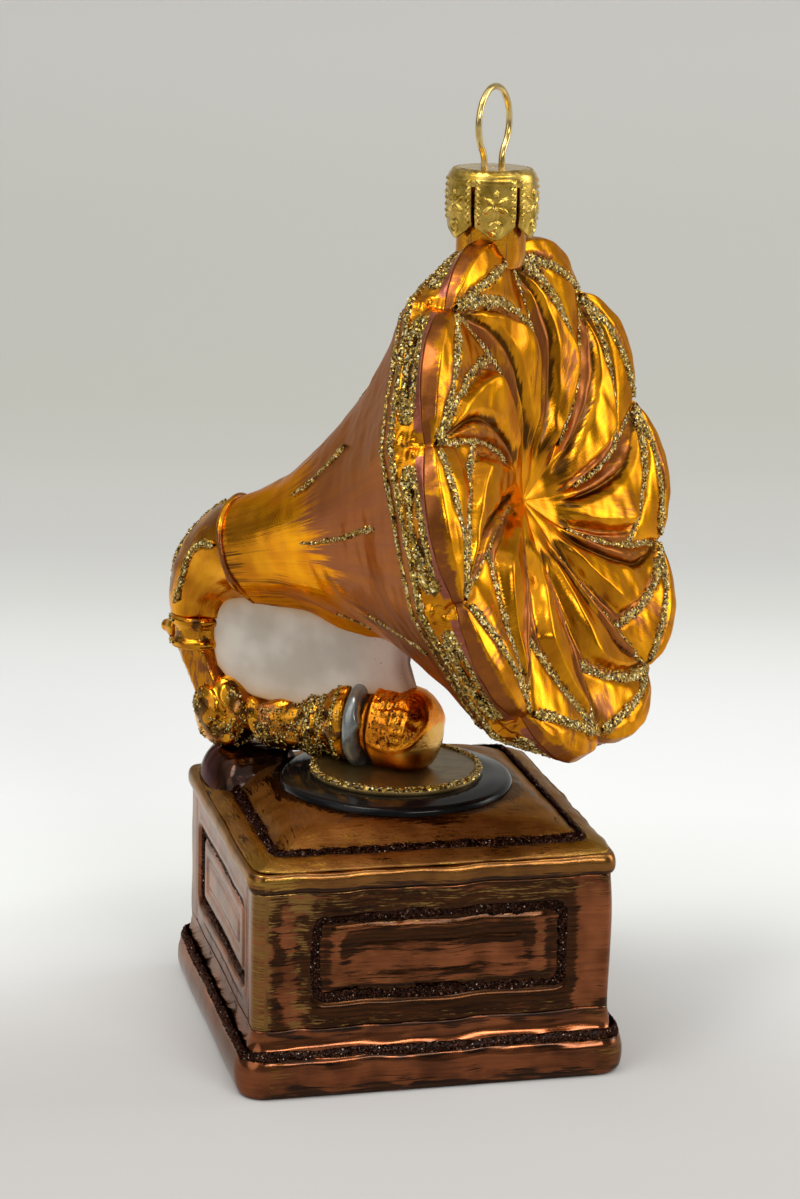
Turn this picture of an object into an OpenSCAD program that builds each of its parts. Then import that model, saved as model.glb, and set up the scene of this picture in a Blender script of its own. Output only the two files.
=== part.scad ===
// A blown-glass hanging ornament in the shape of a horn gramophone.
// Millimetres. +Z is up, and the origin is the middle of the flat underside of the case.
// The case faces -Y. The horn, tone arm and web lie in one upright plane, which is turned by horn_yaw.

/* [Case] */
// Width of the square case across its walls
case_w = 46; // [42:1:50]
// Height of the panelled walls
wall_h = 17.8; // [15:0.2:22]
// Thickness of the blown glass
glass_t = 1; // [0.8:0.1:1.2]
// Radius of the case's upright corners
corner_r = 1.8; // [1.4:0.2:2.6]
// How far the foot roll stands out past the walls
foot_out = 2; // [1.4:0.2:3]
// Height of the round roll at the foot
roll_h = 5.4; // [4.4:0.2:6.4]
// Height of the cove between the foot roll and the walls
cove_h = 3.2; // [2.4:0.2:4.4]
// How far the cornice bead stands out past the walls
cornice_out = 0.6; // [0.4:0.1:1]
// Height of the cornice bead under the lid
cornice_h = 2.6; // [2:0.2:3.6]

/* [Wall panels] */
// Length of the sunk panel on each wall
panel_w = 32; // [26:1:36]
// Height of the sunk panel
panel_h = 11; // [9:0.5:13]
// Depth to which the panel is sunk
panel_sunk = 0.5; // [0.3:0.1:0.6]
// Corner radius of the sunk panel
panel_r = 1.6; // [1:0.2:2.4]
// Length of the raised tablet inside the panel
tablet_w = 24; // [18:1:25]
// Height of the raised tablet inside the panel
tablet_h = 4.6; // [3:0.2:6]

/* [Lid] */
// Width of the flat border round the hipped lid
border_w = 3.2; // [2.4:0.2:4.4]
// Rise of the border from the cornice to the hip
border_rise = 1.2; // [0.8:0.1:1.8]
// Height of the small step at the foot of the hip
hip_step = 0.5; // [0.3:0.1:0.8]
// Rise of the hip from its step to the record
hip_rise = 2.2; // [1.6:0.2:3]
// Radius of the black record disc
record_r = 15.2; // [13:0.2:16.4]
// Height of the record disc
record_h = 1.2; // [1:0.1:1.6]
// Radius of the gold label disc
label_r = 11.2; // [8:0.2:12.4]
// Thickness of the gold label disc
label_t = 0.8; // [0.6:0.1:1.2]

/* [Tone arm] */
// Radius of the sound box's grey ring
ring_r = 5.4; // [4.6:0.1:6]
// Width of the grey ring along the arm
ring_w = 2.6; // [2:0.1:3.4]
// Radius of the sound box's drum
drum_r = 4.9; // [4:0.1:5.2]
// Length of the drum in front of the grey ring
drum_l = 5.6; // [4.6:0.1:6.6]
// Length of the drum's rounded nose
nose_l = 3.4; // [2.6:0.1:4.2]
// Distance of the ring's back face behind the case's middle
ring_back = 5.9; // [5:0.1:7]
// How far the ring is pressed into the label
ring_sunk = 0.6; // [0.3:0.1:0.8]
// Radius of the ball at the arm's foot
ball_r = 4.9; // [4.4:0.1:5.4]
// Distance of the ball's middle inside the face of the left wall
ball_inset = 4.08; // [3.6:0.04:5]
// How far the ball's middle lies below the sound box's axis
ball_drop = 0.8; // [0.4:0.1:1.2]
// Radius of the arm beside the ball
arm_r = 3.1; // [2.6:0.1:3.6]
// Radius of the arm beside its flange
arm_end_r = 3.8; // [3.4:0.1:4.2]
// Radius of the arm's flange against the grey ring
flange_r = 4.8; // [4.4:0.1:5]
// Thickness of the arm's flange
flange_t = 1.5; // [1.1:0.1:2]

/* [Riser and elbow] */
// Radius of the riser tube between the ball and the collar
riser_r = 2.5; // [2.1:0.1:2.9]
// Distance of the collar behind the ball's middle
collar_back = 5.2; // [4.6:0.1:5.8]
// Height of the collar's underside above the ball's middle
collar_up = 8; // [7:0.2:9]
// Height of the collar
collar_h = 4.4; // [3.6:0.2:5.2]
// Radius of the collar
collar_r = 3.5; // [3.1:0.1:3.9]
// How far the collar's pointed knob stands out
knob_l = 2.2; // [1.6:0.1:2.8]
// Radius of the knob's root
knob_r = 1.9; // [1.4:0.1:2.1]

/* [Horn] */
// Angle of the horn's plane, turned from the case's right side towards its front
horn_yaw = -40; // [-50:1:-32]
// Upward tilt of the horn
horn_tilt = 15.4; // [12:0.2:18]
// Length of the flared horn, from the throat ring to the bell's back edge
horn_l = 40; // [36:0.5:43]
// Radius of the horn at its throat
throat_r = 6.6; // [6.1:0.1:7.1]
// Radius of the corners of the bell's back edge
bell_r = 32.8; // [31:0.2:34]
// How late the flare opens
flare = 1.75; // [1.4:0.05:2.1]
// Height of the throat's middle above the collar
throat_up = 9.8; // [9:0.2:11]
// Distance of the throat's middle in front of the collar
throat_out = 7.6; // [7:0.1:8.4]
// Radius of the bead round the throat
throat_bead_r = 0.9; // [0.6:0.1:1.2]

/* [Bell] */
// Number of scalloped lobes round the bell
lobes = 10; // [8:1:12]
// Radius of the bell's rim at the notches between lobes
notch_r = 30.4; // [29:0.2:31]
// Radius of the bell at the middle of a lobe
lobe_r = 33.4; // [32:0.2:34.4]
// Angle of the first notch from the top of the bell
notch_angle = 4; // [0:0.5:8]
// How far the middle of a lobe puffs out in front of the notches
lobe_puff = 2.4; // [1.6:0.1:3]
// Depth of the bell from its notches to its back edge
band_d = 5; // [4.4:0.1:6]
// Depth of the rounded rim behind the notches
roll_d = 1.2; // [0.8:0.1:1.6]
// Depth of the funnel in the middle of the face
dish_d = 4.4; // [3:0.2:6]
// Height of a petal above the face
petal_h = 1.8; // [1.2:0.1:2.4]
// Share of the radius at which a petal's curved edge runs into the next straight one
join_share = 0.74; // [0.66:0.02:0.8]
// Depth of the crease along a petal's curved edge
crease_d = 0.5; // [0.3:0.1:0.7]
// Depth of the oval dimple in each band panel
dimple_d = 0.5; // [0.3:0.1:0.7]

/* [Web] */
// Thickness of the hollow web between the horn and the tone arm
web_t = 4; // [3:0.2:4.4]
// Distance of the web's front edge ahead of the case's middle
web_front = 0.4; // [0:0.2:1.2]
// Depth of the hollow in the web's front edge
web_nick = 0.8; // [0.4:0.1:1.2]

/* [Neck, cap and hanger] */
// Distance of the neck's middle behind the top of the bell's rim, measured level
neck_back = 1.5; // [1.2:0.1:2]
// Height of the neck's mouth above the top of the bell's rim
neck_h = 10.2; // [9.6:0.1:10.8]
// Inside radius of the glass neck
bore_r = 3.2; // [3.1:0.05:3.4]
// Radius of the rolled lip at the neck's mouth
lip_r = 4.9; // [4.6:0.1:5.1]
// Outside radius of the stamped cap
cap_r = 5.8; // [5.6:0.1:6.2]
// Thickness of the cap's sheet metal
cap_t = 0.3; // [0.25:0.05:0.4]
// Height of the cap from its tabs' tips to its top
cap_h = 8.3; // [7.6:0.1:8.8]
// Number of pointed tabs round the cap's skirt
tabs = 6; // [5:1:8]
// Width of the slit between two tabs
slit_w = 0.5; // [0.3:0.1:0.8]
// Thickness of the hanger wire
wire_d = 0.8; // [0.7:0.05:0.9]
// Radius of the hanging loop, to the middle of the wire
loop_r = 4.4; // [4:0.1:4.8]
// Radius of the bend between the loop and each leg
bend_r = 3; // [2.2:0.2:3.6]
// Height of the straight legs between the bends and the cap
leg_up = 0.4; // [0.3:0.1:1]
// Distance of each wire leg from the neck's axis
leg_out = 2.5; // [2.4:0.05:2.55]
// Length of each wire leg below the cap's top
leg_l = 8.6; // [7.6:0.2:9]
// Running gap round each wire leg in the cap
leg_gap = 0.08; // [0.05:0.01:0.1]

/* [Glitter] */
// Width of a glitter line
line_w = 1.1; // [0.9:0.1:1.4]
// Height of a glitter line above the glass
line_h = 0.4; // [0.3:0.05:0.5]

/* [Hidden] */
$fn = 48;

amber = [0.95, 0.55, 0.08];
rose = [0.72, 0.42, 0.32];
copper = [0.45, 0.22, 0.12];
olive = [0.4, 0.26, 0.1];
frost = [0.88, 0.88, 0.86];
gilt = [0.88, 0.72, 0.3];
gold_glitter = [0.7, 0.58, 0.25];
dark_glitter = [0.2, 0.13, 0.1];

sink = 0.2;       // how far glitter and glued beads sit into the glass
seat = 0.03;      // gap under the cap where it rests on the neck's mouth

// Heights, stacked up from the underside
half_w = case_w / 2;
z_wall = roll_h + cove_h;
z_cornice = z_wall + wall_h;
z_border = z_cornice + cornice_h;
z_hip = z_border + border_rise;
z_record = z_hip + hip_step + hip_rise;
z_label = z_record + record_h;
z_label_top = z_label + label_t;
panel_z = z_wall + wall_h / 2;

// Points in the horn's plane, as [distance ahead of the case's middle, height]
arm_z = z_label_top + ring_r - ring_sunk;
ball = [-(half_w - ball_inset) / cos(horn_yaw), arm_z - ball_drop];
flange = [-ring_back - flange_t, arm_z];
arm_l = norm(flange - ball);
collar_low = [ball[0] - collar_back, ball[1] + collar_up];
collar_top = collar_low + [0, collar_h];
riser_low = ball + [-collar_back * 0.3, 0];
riser_l = norm(collar_low - riser_low);
throat = collar_top + [throat_out, throat_up];
horn_way = [cos(horn_tilt), sin(horn_tilt)];
horn_down = [sin(horn_tilt), -cos(horn_tilt)];
bell = throat + (horn_l + band_d) * horn_way;
rim_top = bell - notch_r * horn_down;
neck = rim_top + [-neck_back, neck_h];
neck_r = bore_r + glass_t;
cap_top = neck[1] + seat + cap_t;
loop_rise = sqrt(pow(loop_r + bend_r, 2) - pow(leg_out + bend_r, 2));
loop_z = cap_top + leg_up + loop_rise;

function total(list, i = 0) = i >= len(list) ? [0, 0, 0] : list[i] + total(list, i + 1);
function middle(ring) = total(ring) / len(ring);
function reversed(list) = [for (i = [len(list) - 1 : -1 : 0]) list[i]];
function mix(a, b, t) = a + (b - a) * t;
function unit(v) = v / norm(v);

// Everything drawn in the horn's plane goes through this turn
module in_horn_plane() {
    rotate([0, 0, horn_yaw]) children();
}

// Puts the Z axis of a shape along the line from p to q in the horn's plane, starting at p
module along(p, q) {
    way = q - p;
    translate([p[0], 0, p[1]]) rotate([0, atan2(way[0], way[1]), 0]) children();
}

// Puts the Z axis of a shape along the arm, ahead of the case's middle by the given distance
module on_arm_axis(ahead) {
    translate([ahead, 0, arm_z]) rotate([0, 90, 0]) children();
}

// Puts the Z axis of a shape along the horn's own axis, with its zero at the bell's notches
module on_horn_axis() {
    translate([bell[0], 0, bell[1]]) rotate([0, 90 - horn_tilt, 0]) children();
}

// A closed solid through rings of points. A looped one joins its last ring to its first
module ring_solid(rings, looped = false) {
    n = len(rings[0]);
    m = len(rings);
    sides = [for (k = [0 : looped ? m - 1 : m - 2], i = [0 : n - 1], half = [0, 1])
        let (a = k * n + i, b = k * n + (i + 1) % n,
            c = ((k + 1) % m) * n + (i + 1) % n, d = ((k + 1) % m) * n + i)
        half == 0 ? [a, c, b] : [a, d, c]];
    ends = looped ? [] : concat(
        [for (i = [0 : n - 1]) [m * n, i, (i + 1) % n]],
        [for (i = [0 : n - 1]) [m * n + 1, (m - 1) * n + (i + 1) % n, (m - 1) * n + i]]);
    middles = looped ? [] : [middle(rings[0]), middle(rings[m - 1])];
    polyhedron(points = concat([for (ring = rings) each ring], middles),
        faces = concat(sides, ends), convexity = 8);
}

// A frame round the case: its children are the section, with X measured from the corner's centre
module square_frame(half, corner) {
    centre = half - corner;
    for (q = [0 : 3]) rotate([0, 0, 90 * q]) translate([centre, centre, 0]) {
        rotate_extrude(angle = 90) children();
        rotate([90, 0, 0]) linear_extrude(2 * centre) children();
    }
}

// A rectangle with rounded corners
module rounded_plate(w, h, r, t) {
    linear_extrude(t) union() {
        square([w - 2 * r, h], center = true);
        square([w, h - 2 * r], center = true);
        for (x = [-1, 1], y = [-1, 1])
            translate([x * (w / 2 - r), y * (h / 2 - r)]) circle(r);
    }
}

// Places its children on each of the four walls, lying in the wall's face and facing out
module on_each_wall() {
    for (q = [0 : 3]) rotate([0, 0, 90 * q])
        translate([0, -half_w, panel_z]) rotate([90, 0, 0]) children();
}

// The case

// Outline of the foot from bottom to top: a round roll, then a cove that curves in to the wall
foot_line = [for (p = concat(
    [for (t = [-80 : 10 : 80]) [foot_out / 2 * (1 + cos(t)), roll_h / 2 * (1 + sin(t))]],
    [for (t = [0 : 10 : 90]) [0.7 * foot_out * (1 - sin(t)), roll_h + cove_h * (1 - cos(t))]]))
    [corner_r + p[0], p[1]]];

module plinth() {
    flat_w = case_w - 2 * corner_r;
    color(copper) union() {
        square_frame(half_w, corner_r) {
            polygon(concat([[corner_r - glass_t, 0]], foot_line, [[corner_r - glass_t, z_wall]]));
            square([corner_r, glass_t]);
        }
        translate([-flat_w / 2, -flat_w / 2, 0]) cube([flat_w, flat_w, glass_t]);
    }
}

module case() {
    color(copper) difference() {
        translate([0, 0, z_wall]) difference() {
            rounded_plate(case_w, case_w, corner_r, wall_h);
            translate([0, 0, -1])
                rounded_plate(case_w - 2 * glass_t, case_w - 2 * glass_t, corner_r - glass_t, wall_h + 2);
        }
        on_each_wall() translate([0, 0, -panel_sunk]) difference() {
            rounded_plate(panel_w, panel_h, panel_r, 2 * panel_sunk);
            translate([0, 0, -1]) rounded_plate(tablet_w, tablet_h, panel_r / 2, 1 + panel_sunk * 0.7);
        }
    }
}

module cornice() {
    color(olive) square_frame(half_w, corner_r) polygon(concat(
        [for (t = [-90 : 15 : 90])
            [corner_r + cornice_out * cos(t), z_cornice + cornice_h / 2 * (1 + sin(t))]],
        [[corner_r - glass_t, z_border], [corner_r - glass_t, z_cornice]]));
}

// The lid

lid_columns = 64;
hip_half = half_w - border_w;
// A ring of the lid: a high power gives a square with rounded corners, and 2 gives a circle
function lid_ring(half, power, z) = [for (i = [0 : lid_columns - 1])
    let (a = 360 * i / lid_columns,
        r = half / pow(pow(abs(cos(a)), power) + pow(abs(sin(a)), power), 1 / power))
    [r * cos(a), r * sin(a), z]];
// Rings up the lid. The glass's inner face lies lower and a little further in
function lid_rings(inset) = concat(
    [lid_ring(half_w - inset * 0.3, 18, z_border), lid_ring(hip_half - inset * 0.3, 24, z_hip - inset),
        lid_ring(hip_half - 0.1 - inset, 24, z_hip + hip_step - inset)],
    [for (t = [0.2 : 0.2 : 1])
        lid_ring(mix(hip_half - 0.1 - inset, record_r, pow(t, 0.9)), mix(24, 2, pow(t, 0.35)),
            z_hip + hip_step - inset + hip_rise * (1 - pow(1 - t, 1.5)))]);

module lid() {
    color(olive) ring_solid(concat(lid_rings(0), reversed(lid_rings(glass_t))), looped = true);
}

// The record closes the lid. Its upper edge is round and its rim laps down inside the lid's eye
module record() {
    edge = record_h * 0.4;
    under = z_record + record_h - glass_t;
    color([0.05, 0.05, 0.06]) rotate_extrude() polygon(concat(
        [[0, under], [record_r - glass_t, under], [record_r - glass_t, z_record - glass_t],
            [record_r, z_record - glass_t], [record_r, z_record + record_h - edge]],
        [for (t = [15 : 15 : 90])
            [record_r - edge + edge * cos(t), z_record + record_h - edge + edge * sin(t)]],
        [[0, z_record + record_h]]));
}

module record_label() {
    color(gilt) translate([0, 0, z_label]) cylinder(r = label_r, h = label_t);
}

// The tone arm

// A low flared foot by which the ball stands on the lid
module arm_foot() {
    foot_r = ball_r * 0.62;
    foot_low = z_border + 0.1;
    foot_top = ball[1] - ball_r * 0.6;
    color(olive) in_horn_plane() difference() {
        translate([ball[0], 0, 0]) rotate_extrude() polygon([
            [foot_r - glass_t, foot_low], [foot_r + 0.8, foot_low], [foot_r + 0.6, z_hip + hip_step],
            [foot_r, z_hip + hip_step + 1.4], [foot_r - 0.3, foot_top], [foot_r - 0.3 - glass_t, foot_top]]);
        translate([ball[0], 0, ball[1]]) sphere(r = ball_r);
    }
}

module arm_ball() {
    color(amber) in_horn_plane() difference() {
        translate([ball[0], 0, ball[1]]) sphere(r = ball_r);
        translate([ball[0], 0, ball[1]]) sphere(r = ball_r - glass_t);
        along(ball, flange) cylinder(r = arm_r - glass_t, h = 2 * ball_r);
        along(riser_low, collar_low) cylinder(r = riser_r - glass_t, h = 2 * ball_r);
    }
}

module arm_body(inset) {
    along(ball, flange) rotate_extrude() polygon([
        [0, 0], [arm_r - inset, 0], [arm_r - inset, arm_l * 0.45], [arm_end_r - inset, arm_l], [0, arm_l]]);
}

module tone_arm() {
    color(amber) in_horn_plane() difference() {
        union() {
            arm_body(0);
            on_arm_axis(flange[0]) cylinder(r = flange_r, h = flange_t);
        }
        translate([ball[0], 0, ball[1]]) sphere(r = ball_r);
        arm_body(glass_t);
        on_arm_axis(flange[0] - 1) cylinder(r = arm_end_r - glass_t, h = flange_t + 2);
    }
}

module sound_box_ring() {
    edge = 0.5;
    color([0.5, 0.52, 0.54]) in_horn_plane() on_arm_axis(-ring_back) difference() {
        rotate_extrude() polygon([[0, 0], [ring_r - edge, 0], [ring_r, edge],
            [ring_r, ring_w - edge], [ring_r - edge, ring_w], [0, ring_w]]);
        translate([0, 0, -1]) cylinder(r = arm_end_r - glass_t, h = ring_w + 2);
    }
}

// The drum and its round nose
module drum_body(inset) {
    rotate_extrude() polygon(concat([[0, 0], [drum_r - inset, 0]],
        [for (t = [0 : 10 : 90]) [(drum_r - inset) * cos(t), drum_l + (nose_l - inset) * sin(t)]]));
}

module sound_box() {
    color(amber) in_horn_plane() on_arm_axis(ring_w - ring_back) difference() {
        drum_body(0);
        translate([0, 0, -0.01]) drum_body(glass_t);
    }
}

// The riser, collar and elbow

module riser() {
    color(rose) in_horn_plane() difference() {
        along(riser_low, collar_low) cylinder(r = riser_r, h = riser_l + 2 * riser_r);
        along(riser_low, collar_low) cylinder(r = riser_r - glass_t, h = riser_l + 3 * riser_r);
        translate([ball[0], 0, ball[1]]) sphere(r = ball_r);
        translate([collar_low[0] - 4 * riser_r, -4 * riser_r, collar_low[1]]) cube(8 * riser_r);
    }
}

module collar() {
    bead = collar_h * 0.14;
    color(amber) in_horn_plane() translate([collar_low[0], 0, collar_low[1]]) difference() {
        union() {
            rotate_extrude() polygon([[0, 0], [collar_r, 0], [collar_r, bead], [collar_r - 0.3, 2 * bead],
                [collar_r - 0.3, collar_h - 2 * bead], [collar_r, collar_h - bead],
                [collar_r, collar_h], [0, collar_h]]);
            translate([0.6 - collar_r, 0, collar_h * 0.45]) rotate([0, -90, 0]) rotate_extrude()
                polygon([[0, 0], [knob_r, 0], [knob_r * 0.9, knob_l * 0.35],
                    [knob_r * 0.45, knob_l + 0.2], [0, knob_l + 0.6]]);
        }
        translate([0, 0, -1]) cylinder(r = riser_r - glass_t * 0.6, h = collar_h + 2);
    }
}

elbow_sides = 24;
elbow_steps = [0 : 0.1 : 1.001];
// Middle, radius and lean of the elbow at share t of its bend, from the collar up to the throat
function elbow_lean(t) = (90 - horn_tilt) * pow(t, 1.1);
function elbow_r(t) = mix(collar_r, throat_r, t);
function elbow_mid(t) = pow(1 - t, 3) * collar_top
    + 3 * t * pow(1 - t, 2) * (collar_top + [0, throat_up / 2])
    + 3 * t * t * (1 - t) * (throat - throat_out / 2 * horn_way) + pow(t, 3) * throat;
// A point of the elbow's wall at angle a round it, where 0 is the inside of the bend
function elbow_point(t, a, inset) = let (mid = elbow_mid(t), lean = elbow_lean(t), r = elbow_r(t) - inset)
    [mid[0] + r * cos(a) * cos(lean), r * sin(a), mid[1] - r * cos(a) * sin(lean)];
function elbow_ring(t, inset) = [for (i = [0 : elbow_sides - 1])
    elbow_point(t, 360 * i / elbow_sides, inset)];

module elbow() {
    outer = [for (t = elbow_steps) elbow_ring(t, 0)];
    inner = [for (t = elbow_steps) elbow_ring(t, glass_t)];
    color(amber) in_horn_plane() ring_solid(concat(outer, reversed(inner)), looped = true);
}

// The horn

sector = 360 / lobes;
throat_a = -band_d - horn_l;
// A point of the horn or bell at radius r, turn a from the top, and height z along the horn's axis
function bell_point(r, a, z) = [-r * cos(a), r * sin(a), z];
// How much nearer the axis a straight side lies than its corners, at share w from corner to corner
function side_share(w) = cos(sector / 2) / cos(sector * (w - 0.5));
function flare_r(t) = throat_r + (bell_r - throat_r) * pow(t, flare);
// Slope of the flare's side, and how far the wall's inner face lies from the outer, square to the axis
function flare_slope(t) = flare * (bell_r - throat_r) / horn_l * pow(t, flare - 1);
function flare_inset(t) = glass_t * sqrt(1 + pow(flare_slope(t), 2));
horn_lobe_columns = 5;
horn_steps = [0, 0.12, 0.24, 0.36, 0.47, 0.57, 0.66, 0.75, 0.83, 0.9, 0.96, 1];
// The flare starts round and ends in straight sides between the bell's corners
function horn_ring(t, inset) = [for (i = [0 : lobes * horn_lobe_columns - 1])
    let (w = (i % horn_lobe_columns) / horn_lobe_columns)
    bell_point(flare_r(t) * mix(1, side_share(w), pow(t, 6)) - inset,
        notch_angle + sector * i / horn_lobe_columns, throat_a + horn_l * t)];

module horn() {
    outer = [for (t = horn_steps) horn_ring(t, 0)];
    inner = [for (t = horn_steps) horn_ring(t, flare_inset(t))];
    color(rose) in_horn_plane() on_horn_axis() ring_solid(concat(outer, reversed(inner)), looped = true);
}

module throat_ring() {
    color(rose) in_horn_plane() on_horn_axis() translate([0, 0, throat_a]) difference() {
        rotate_extrude() translate([throat_r, 0]) circle(throat_bead_r, $fn = 24);
        translate([0, 0, -2 * throat_bead_r]) cylinder(r = throat_r - sink, h = 4 * throat_bead_r);
    }
}

// The bell

lobe_columns = 10;
columns = lobes * lobe_columns;
// Share of a lobe, from 0 at one notch to 1 at the next, of a column of the bell
function lobe_share(i) = (i % lobe_columns) / lobe_columns;
function column_turn(i) = notch_angle + sector * i / lobe_columns;
// A round swelling that is 0 at shares 0 and 1
function hump(w) = w <= 0 || w >= 1 ? 0 : pow(sin(180 * w), 0.8);
function lobe_edge_r(w) = mix(notch_r, lobe_r, hump(w));

// Height of the face on the straight line from a notch to the middle, at share p of the radius
function ridge_z(p) = p >= 0.65 ? 0 : -dish_d * pow(1 - p / 0.65, 1.3);
// A petal's curved edge: the share p of the radius at which it crosses share w of the lobe
function edge_p(w) = 1 - (1 - join_share) * (1 - pow(1 - w, 0.8));
// How far the face has passed over from petal to puffed rim, at share p of the radius
function rim_share(p) = let (t = max(0, (p - join_share) / (1 - join_share))) t * t * (3 - 2 * t);
function face_z(p, w) = ridge_z(p)
    + hump(w) * mix(petal_h * min(1, 1.7 * p), lobe_puff, rim_share(p))
    - (w <= 0 || w >= 1 ? 0 : crease_d * exp(-pow((p - edge_p(w)) / 0.06, 2)));

function face_row(p, inset) = [for (i = [0 : columns - 1])
    bell_point(notch_r * p, column_turn(i), face_z(p, lobe_share(i)) - inset)];
// The rim rolls over from the face, at share q of the roll, to the front of the band
function roll_row(q, inset) = [for (i = [0 : columns - 1]) let (w = lobe_share(i))
    bell_point(mix(notch_r, lobe_edge_r(w), sin(90 * q)) - inset * q, column_turn(i),
        mix(lobe_puff * hump(w), roll_z(w), 1 - cos(90 * q)) - inset * (1 - q))];
function roll_z(w) = 0.3 * lobe_puff * hump(w) - roll_d;

// The neck's bore, cut down through the top of the bell so that the glass is open inside
module neck_bore(low) {
    translate([neck[0], 0, low]) cylinder(r = bore_r, h = neck[1] - low + 1);
}

module bell_face() {
    outer = concat([for (p = [0.06, 0.14, 0.22, 0.32, 0.44, 0.56, 0.66, 0.74, 0.81, 0.87, 0.93, 1])
        face_row(p, 0)], [for (q = [0.25 : 0.25 : 1]) roll_row(q, 0)]);
    inner = concat([for (p = [0.06, 0.22, 0.44, 0.66, 0.74, 0.81, 0.87, 0.93, 1])
        face_row(p, glass_t)], [for (q = [0.5, 1]) roll_row(q, glass_t)]);
    color(amber) in_horn_plane() difference() {
        on_horn_axis() ring_solid(concat(outer, reversed(inner)));
        translate([neck[0], 0, rim_top[1] - 4]) linear_extrude(neck_h + 4)
            polygon([for (a = [22.5 : 45 : 360]) bore_r / cos(22.5) * [cos(a), sin(a)]]);
    }
}

// Depth of the dimple at share w of a lobe and share q of the band
function dimple(w, q) = dimple_d * sqrt(max(0, 1 - pow((w - 0.5) / 0.38, 2) - pow((q - 0.5) / 0.42, 2)));
function band_r(w, q) = mix(lobe_edge_r(w), bell_r * side_share(w), q) - dimple(w, q);
function band_row(q, inset) = [for (i = [0 : columns - 1]) let (w = lobe_share(i))
    bell_point(band_r(w, q) - inset, column_turn(i), mix(roll_z(w), -band_d, q))];

module bell_band() {
    outer = [for (q = [0 : 0.2 : 1.001]) band_row(q, 0)];
    inner = [for (q = [0 : 0.2 : 1.001]) band_row(q, glass_t)];
    color(amber) in_horn_plane() difference() {
        on_horn_axis() ring_solid(concat(outer, reversed(inner)), looped = true);
        neck_bore(bell[1] + notch_r * 0.8);
    }
}

// The web

// A point in the horn's plane on the underside of the flare's wall, at share t of the flare
function under_flare(t) = throat + horn_l * t * horn_way + (flare_r(t) - glass_t) * horn_down;
// Front edge of the web, from the horn down to the drum
web_edge = [under_flare(0.5), [web_front - web_nick, mix(arm_z + drum_r, under_flare(0.5)[1], 0.45)],
    [web_front + 1, arm_z + drum_r - glass_t]];
// The outline runs along the middles of its neighbours' walls, so that the web joins them all
web_outline = concat([collar_low + [collar_r - glass_t, 0], collar_top + [collar_r - glass_t, 0]],
    [for (t = [0.1 : 0.1 : 1.001])
        elbow_mid(t) + (elbow_r(t) - glass_t) * [cos(elbow_lean(t)), -sin(elbow_lean(t))]],
    [for (t = [0.1 : 0.1 : 0.401]) under_flare(t)], web_edge,
    [[ring_w - ring_back, arm_z + drum_r - glass_t], [-ring_back, arm_z + flange_r - glass_t],
        [flange[0], arm_z + arm_end_r - glass_t], [ball[0] + ball_r, ball[1] + arm_r - glass_t]],
    [for (a = [30 : 15 : 105]) ball + (ball_r - glass_t) * [cos(a), sin(a)]]);

module web_slab(t) {
    rotate([90, 0, 0]) translate([0, 0, -t / 2]) linear_extrude(t) children();
}

// Two faces joined by a wall along the free front edge
module web() {
    color(frost) in_horn_plane() union() {
        for (side = [-1, 1]) translate([0, side * (web_t - glass_t) / 2, 0])
            web_slab(glass_t) polygon(web_outline);
        web_slab(web_t - glass_t) polygon(concat(web_edge, [for (p = reversed(web_edge)) p - [glass_t, 0]]));
    }
}

// The neck, cap and hanger

module neck() {
    low = rim_top[1] - 1.6;
    lip_h = 1.4;
    color(rose) in_horn_plane() difference() {
        translate([neck[0], 0, 0]) rotate_extrude() polygon([
            [0, low], [neck_r + 0.8, low], [neck_r + 0.8, low + 1.2], [neck_r, low + 3.2],
            [neck_r, neck[1] - 1.6 * lip_h], [lip_r, neck[1] - lip_h], [lip_r, neck[1] - 0.3],
            [lip_r - 0.3, neck[1]], [0, neck[1]]]);
        neck_bore(low - 1);
    }
}

// A thin cup whose skirt is slit into pointed tabs, with two holes for the wire
module cap() {
    point_h = 1.6;
    half_gap = cap_r * sin(180 / tabs) - 0.4;
    color(gilt) in_horn_plane() translate([neck[0], 0, cap_top]) difference() {
        rotate_extrude() polygon([[0, 0], [cap_r - 0.9, 0], [cap_r - 0.2, -0.4], [cap_r, -1.1],
            [cap_r, -cap_h], [cap_r - cap_t, -cap_h], [cap_r - cap_t, -1.2],
            [cap_r - cap_t - 0.2, -cap_t - 0.4], [cap_r - 1, -cap_t], [0, -cap_t]]);
        for (k = [0 : tabs - 1]) rotate([0, 0, 360 * (k + 0.5) / tabs])
            translate([cap_r - 2, 0, 0]) rotate([90, 0, 90]) linear_extrude(4) polygon([
                [-slit_w / 2, -cap_h * 0.2], [slit_w / 2, -cap_h * 0.2], [slit_w / 2, point_h - cap_h],
                [half_gap, -cap_h - 0.1], [-half_gap, -cap_h - 0.1], [-slit_w / 2, point_h - cap_h]]);
        for (side = [-1, 1]) translate([0, side * leg_out, -1])
            cylinder(r = wire_d / 2 + leg_gap, h = 2);
    }
}

// The wire: a round loop that bends in to two straight legs. The bends are a hair thinner than
// the rest, and reach into it by the angle lap at both ends
module hanger() {
    turn = atan2(leg_out + bend_r, loop_rise);
    lap = 1;
    color(gilt) in_horn_plane() translate([neck[0], 0, loop_z]) rotate([90, 0, 90]) union() {
        rotate([0, 0, turn - 90]) rotate_extrude(angle = 360 - 2 * turn, $fn = 96)
            translate([loop_r, 0]) circle(d = wire_d);
        for (side = [0, 1]) rotate([0, 180 * side, 0]) {
            translate([leg_out + bend_r, -loop_rise, 0]) rotate([0, 0, 90 + turn - lap])
                rotate_extrude(angle = 90 - turn + 2 * lap) translate([bend_r, 0]) circle(d = wire_d - 0.01);
            translate([leg_out, -loop_rise, 0]) rotate([90, 0, 0]) cylinder(d = wire_d, h = leg_up + leg_l);
        }
    }
}

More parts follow.
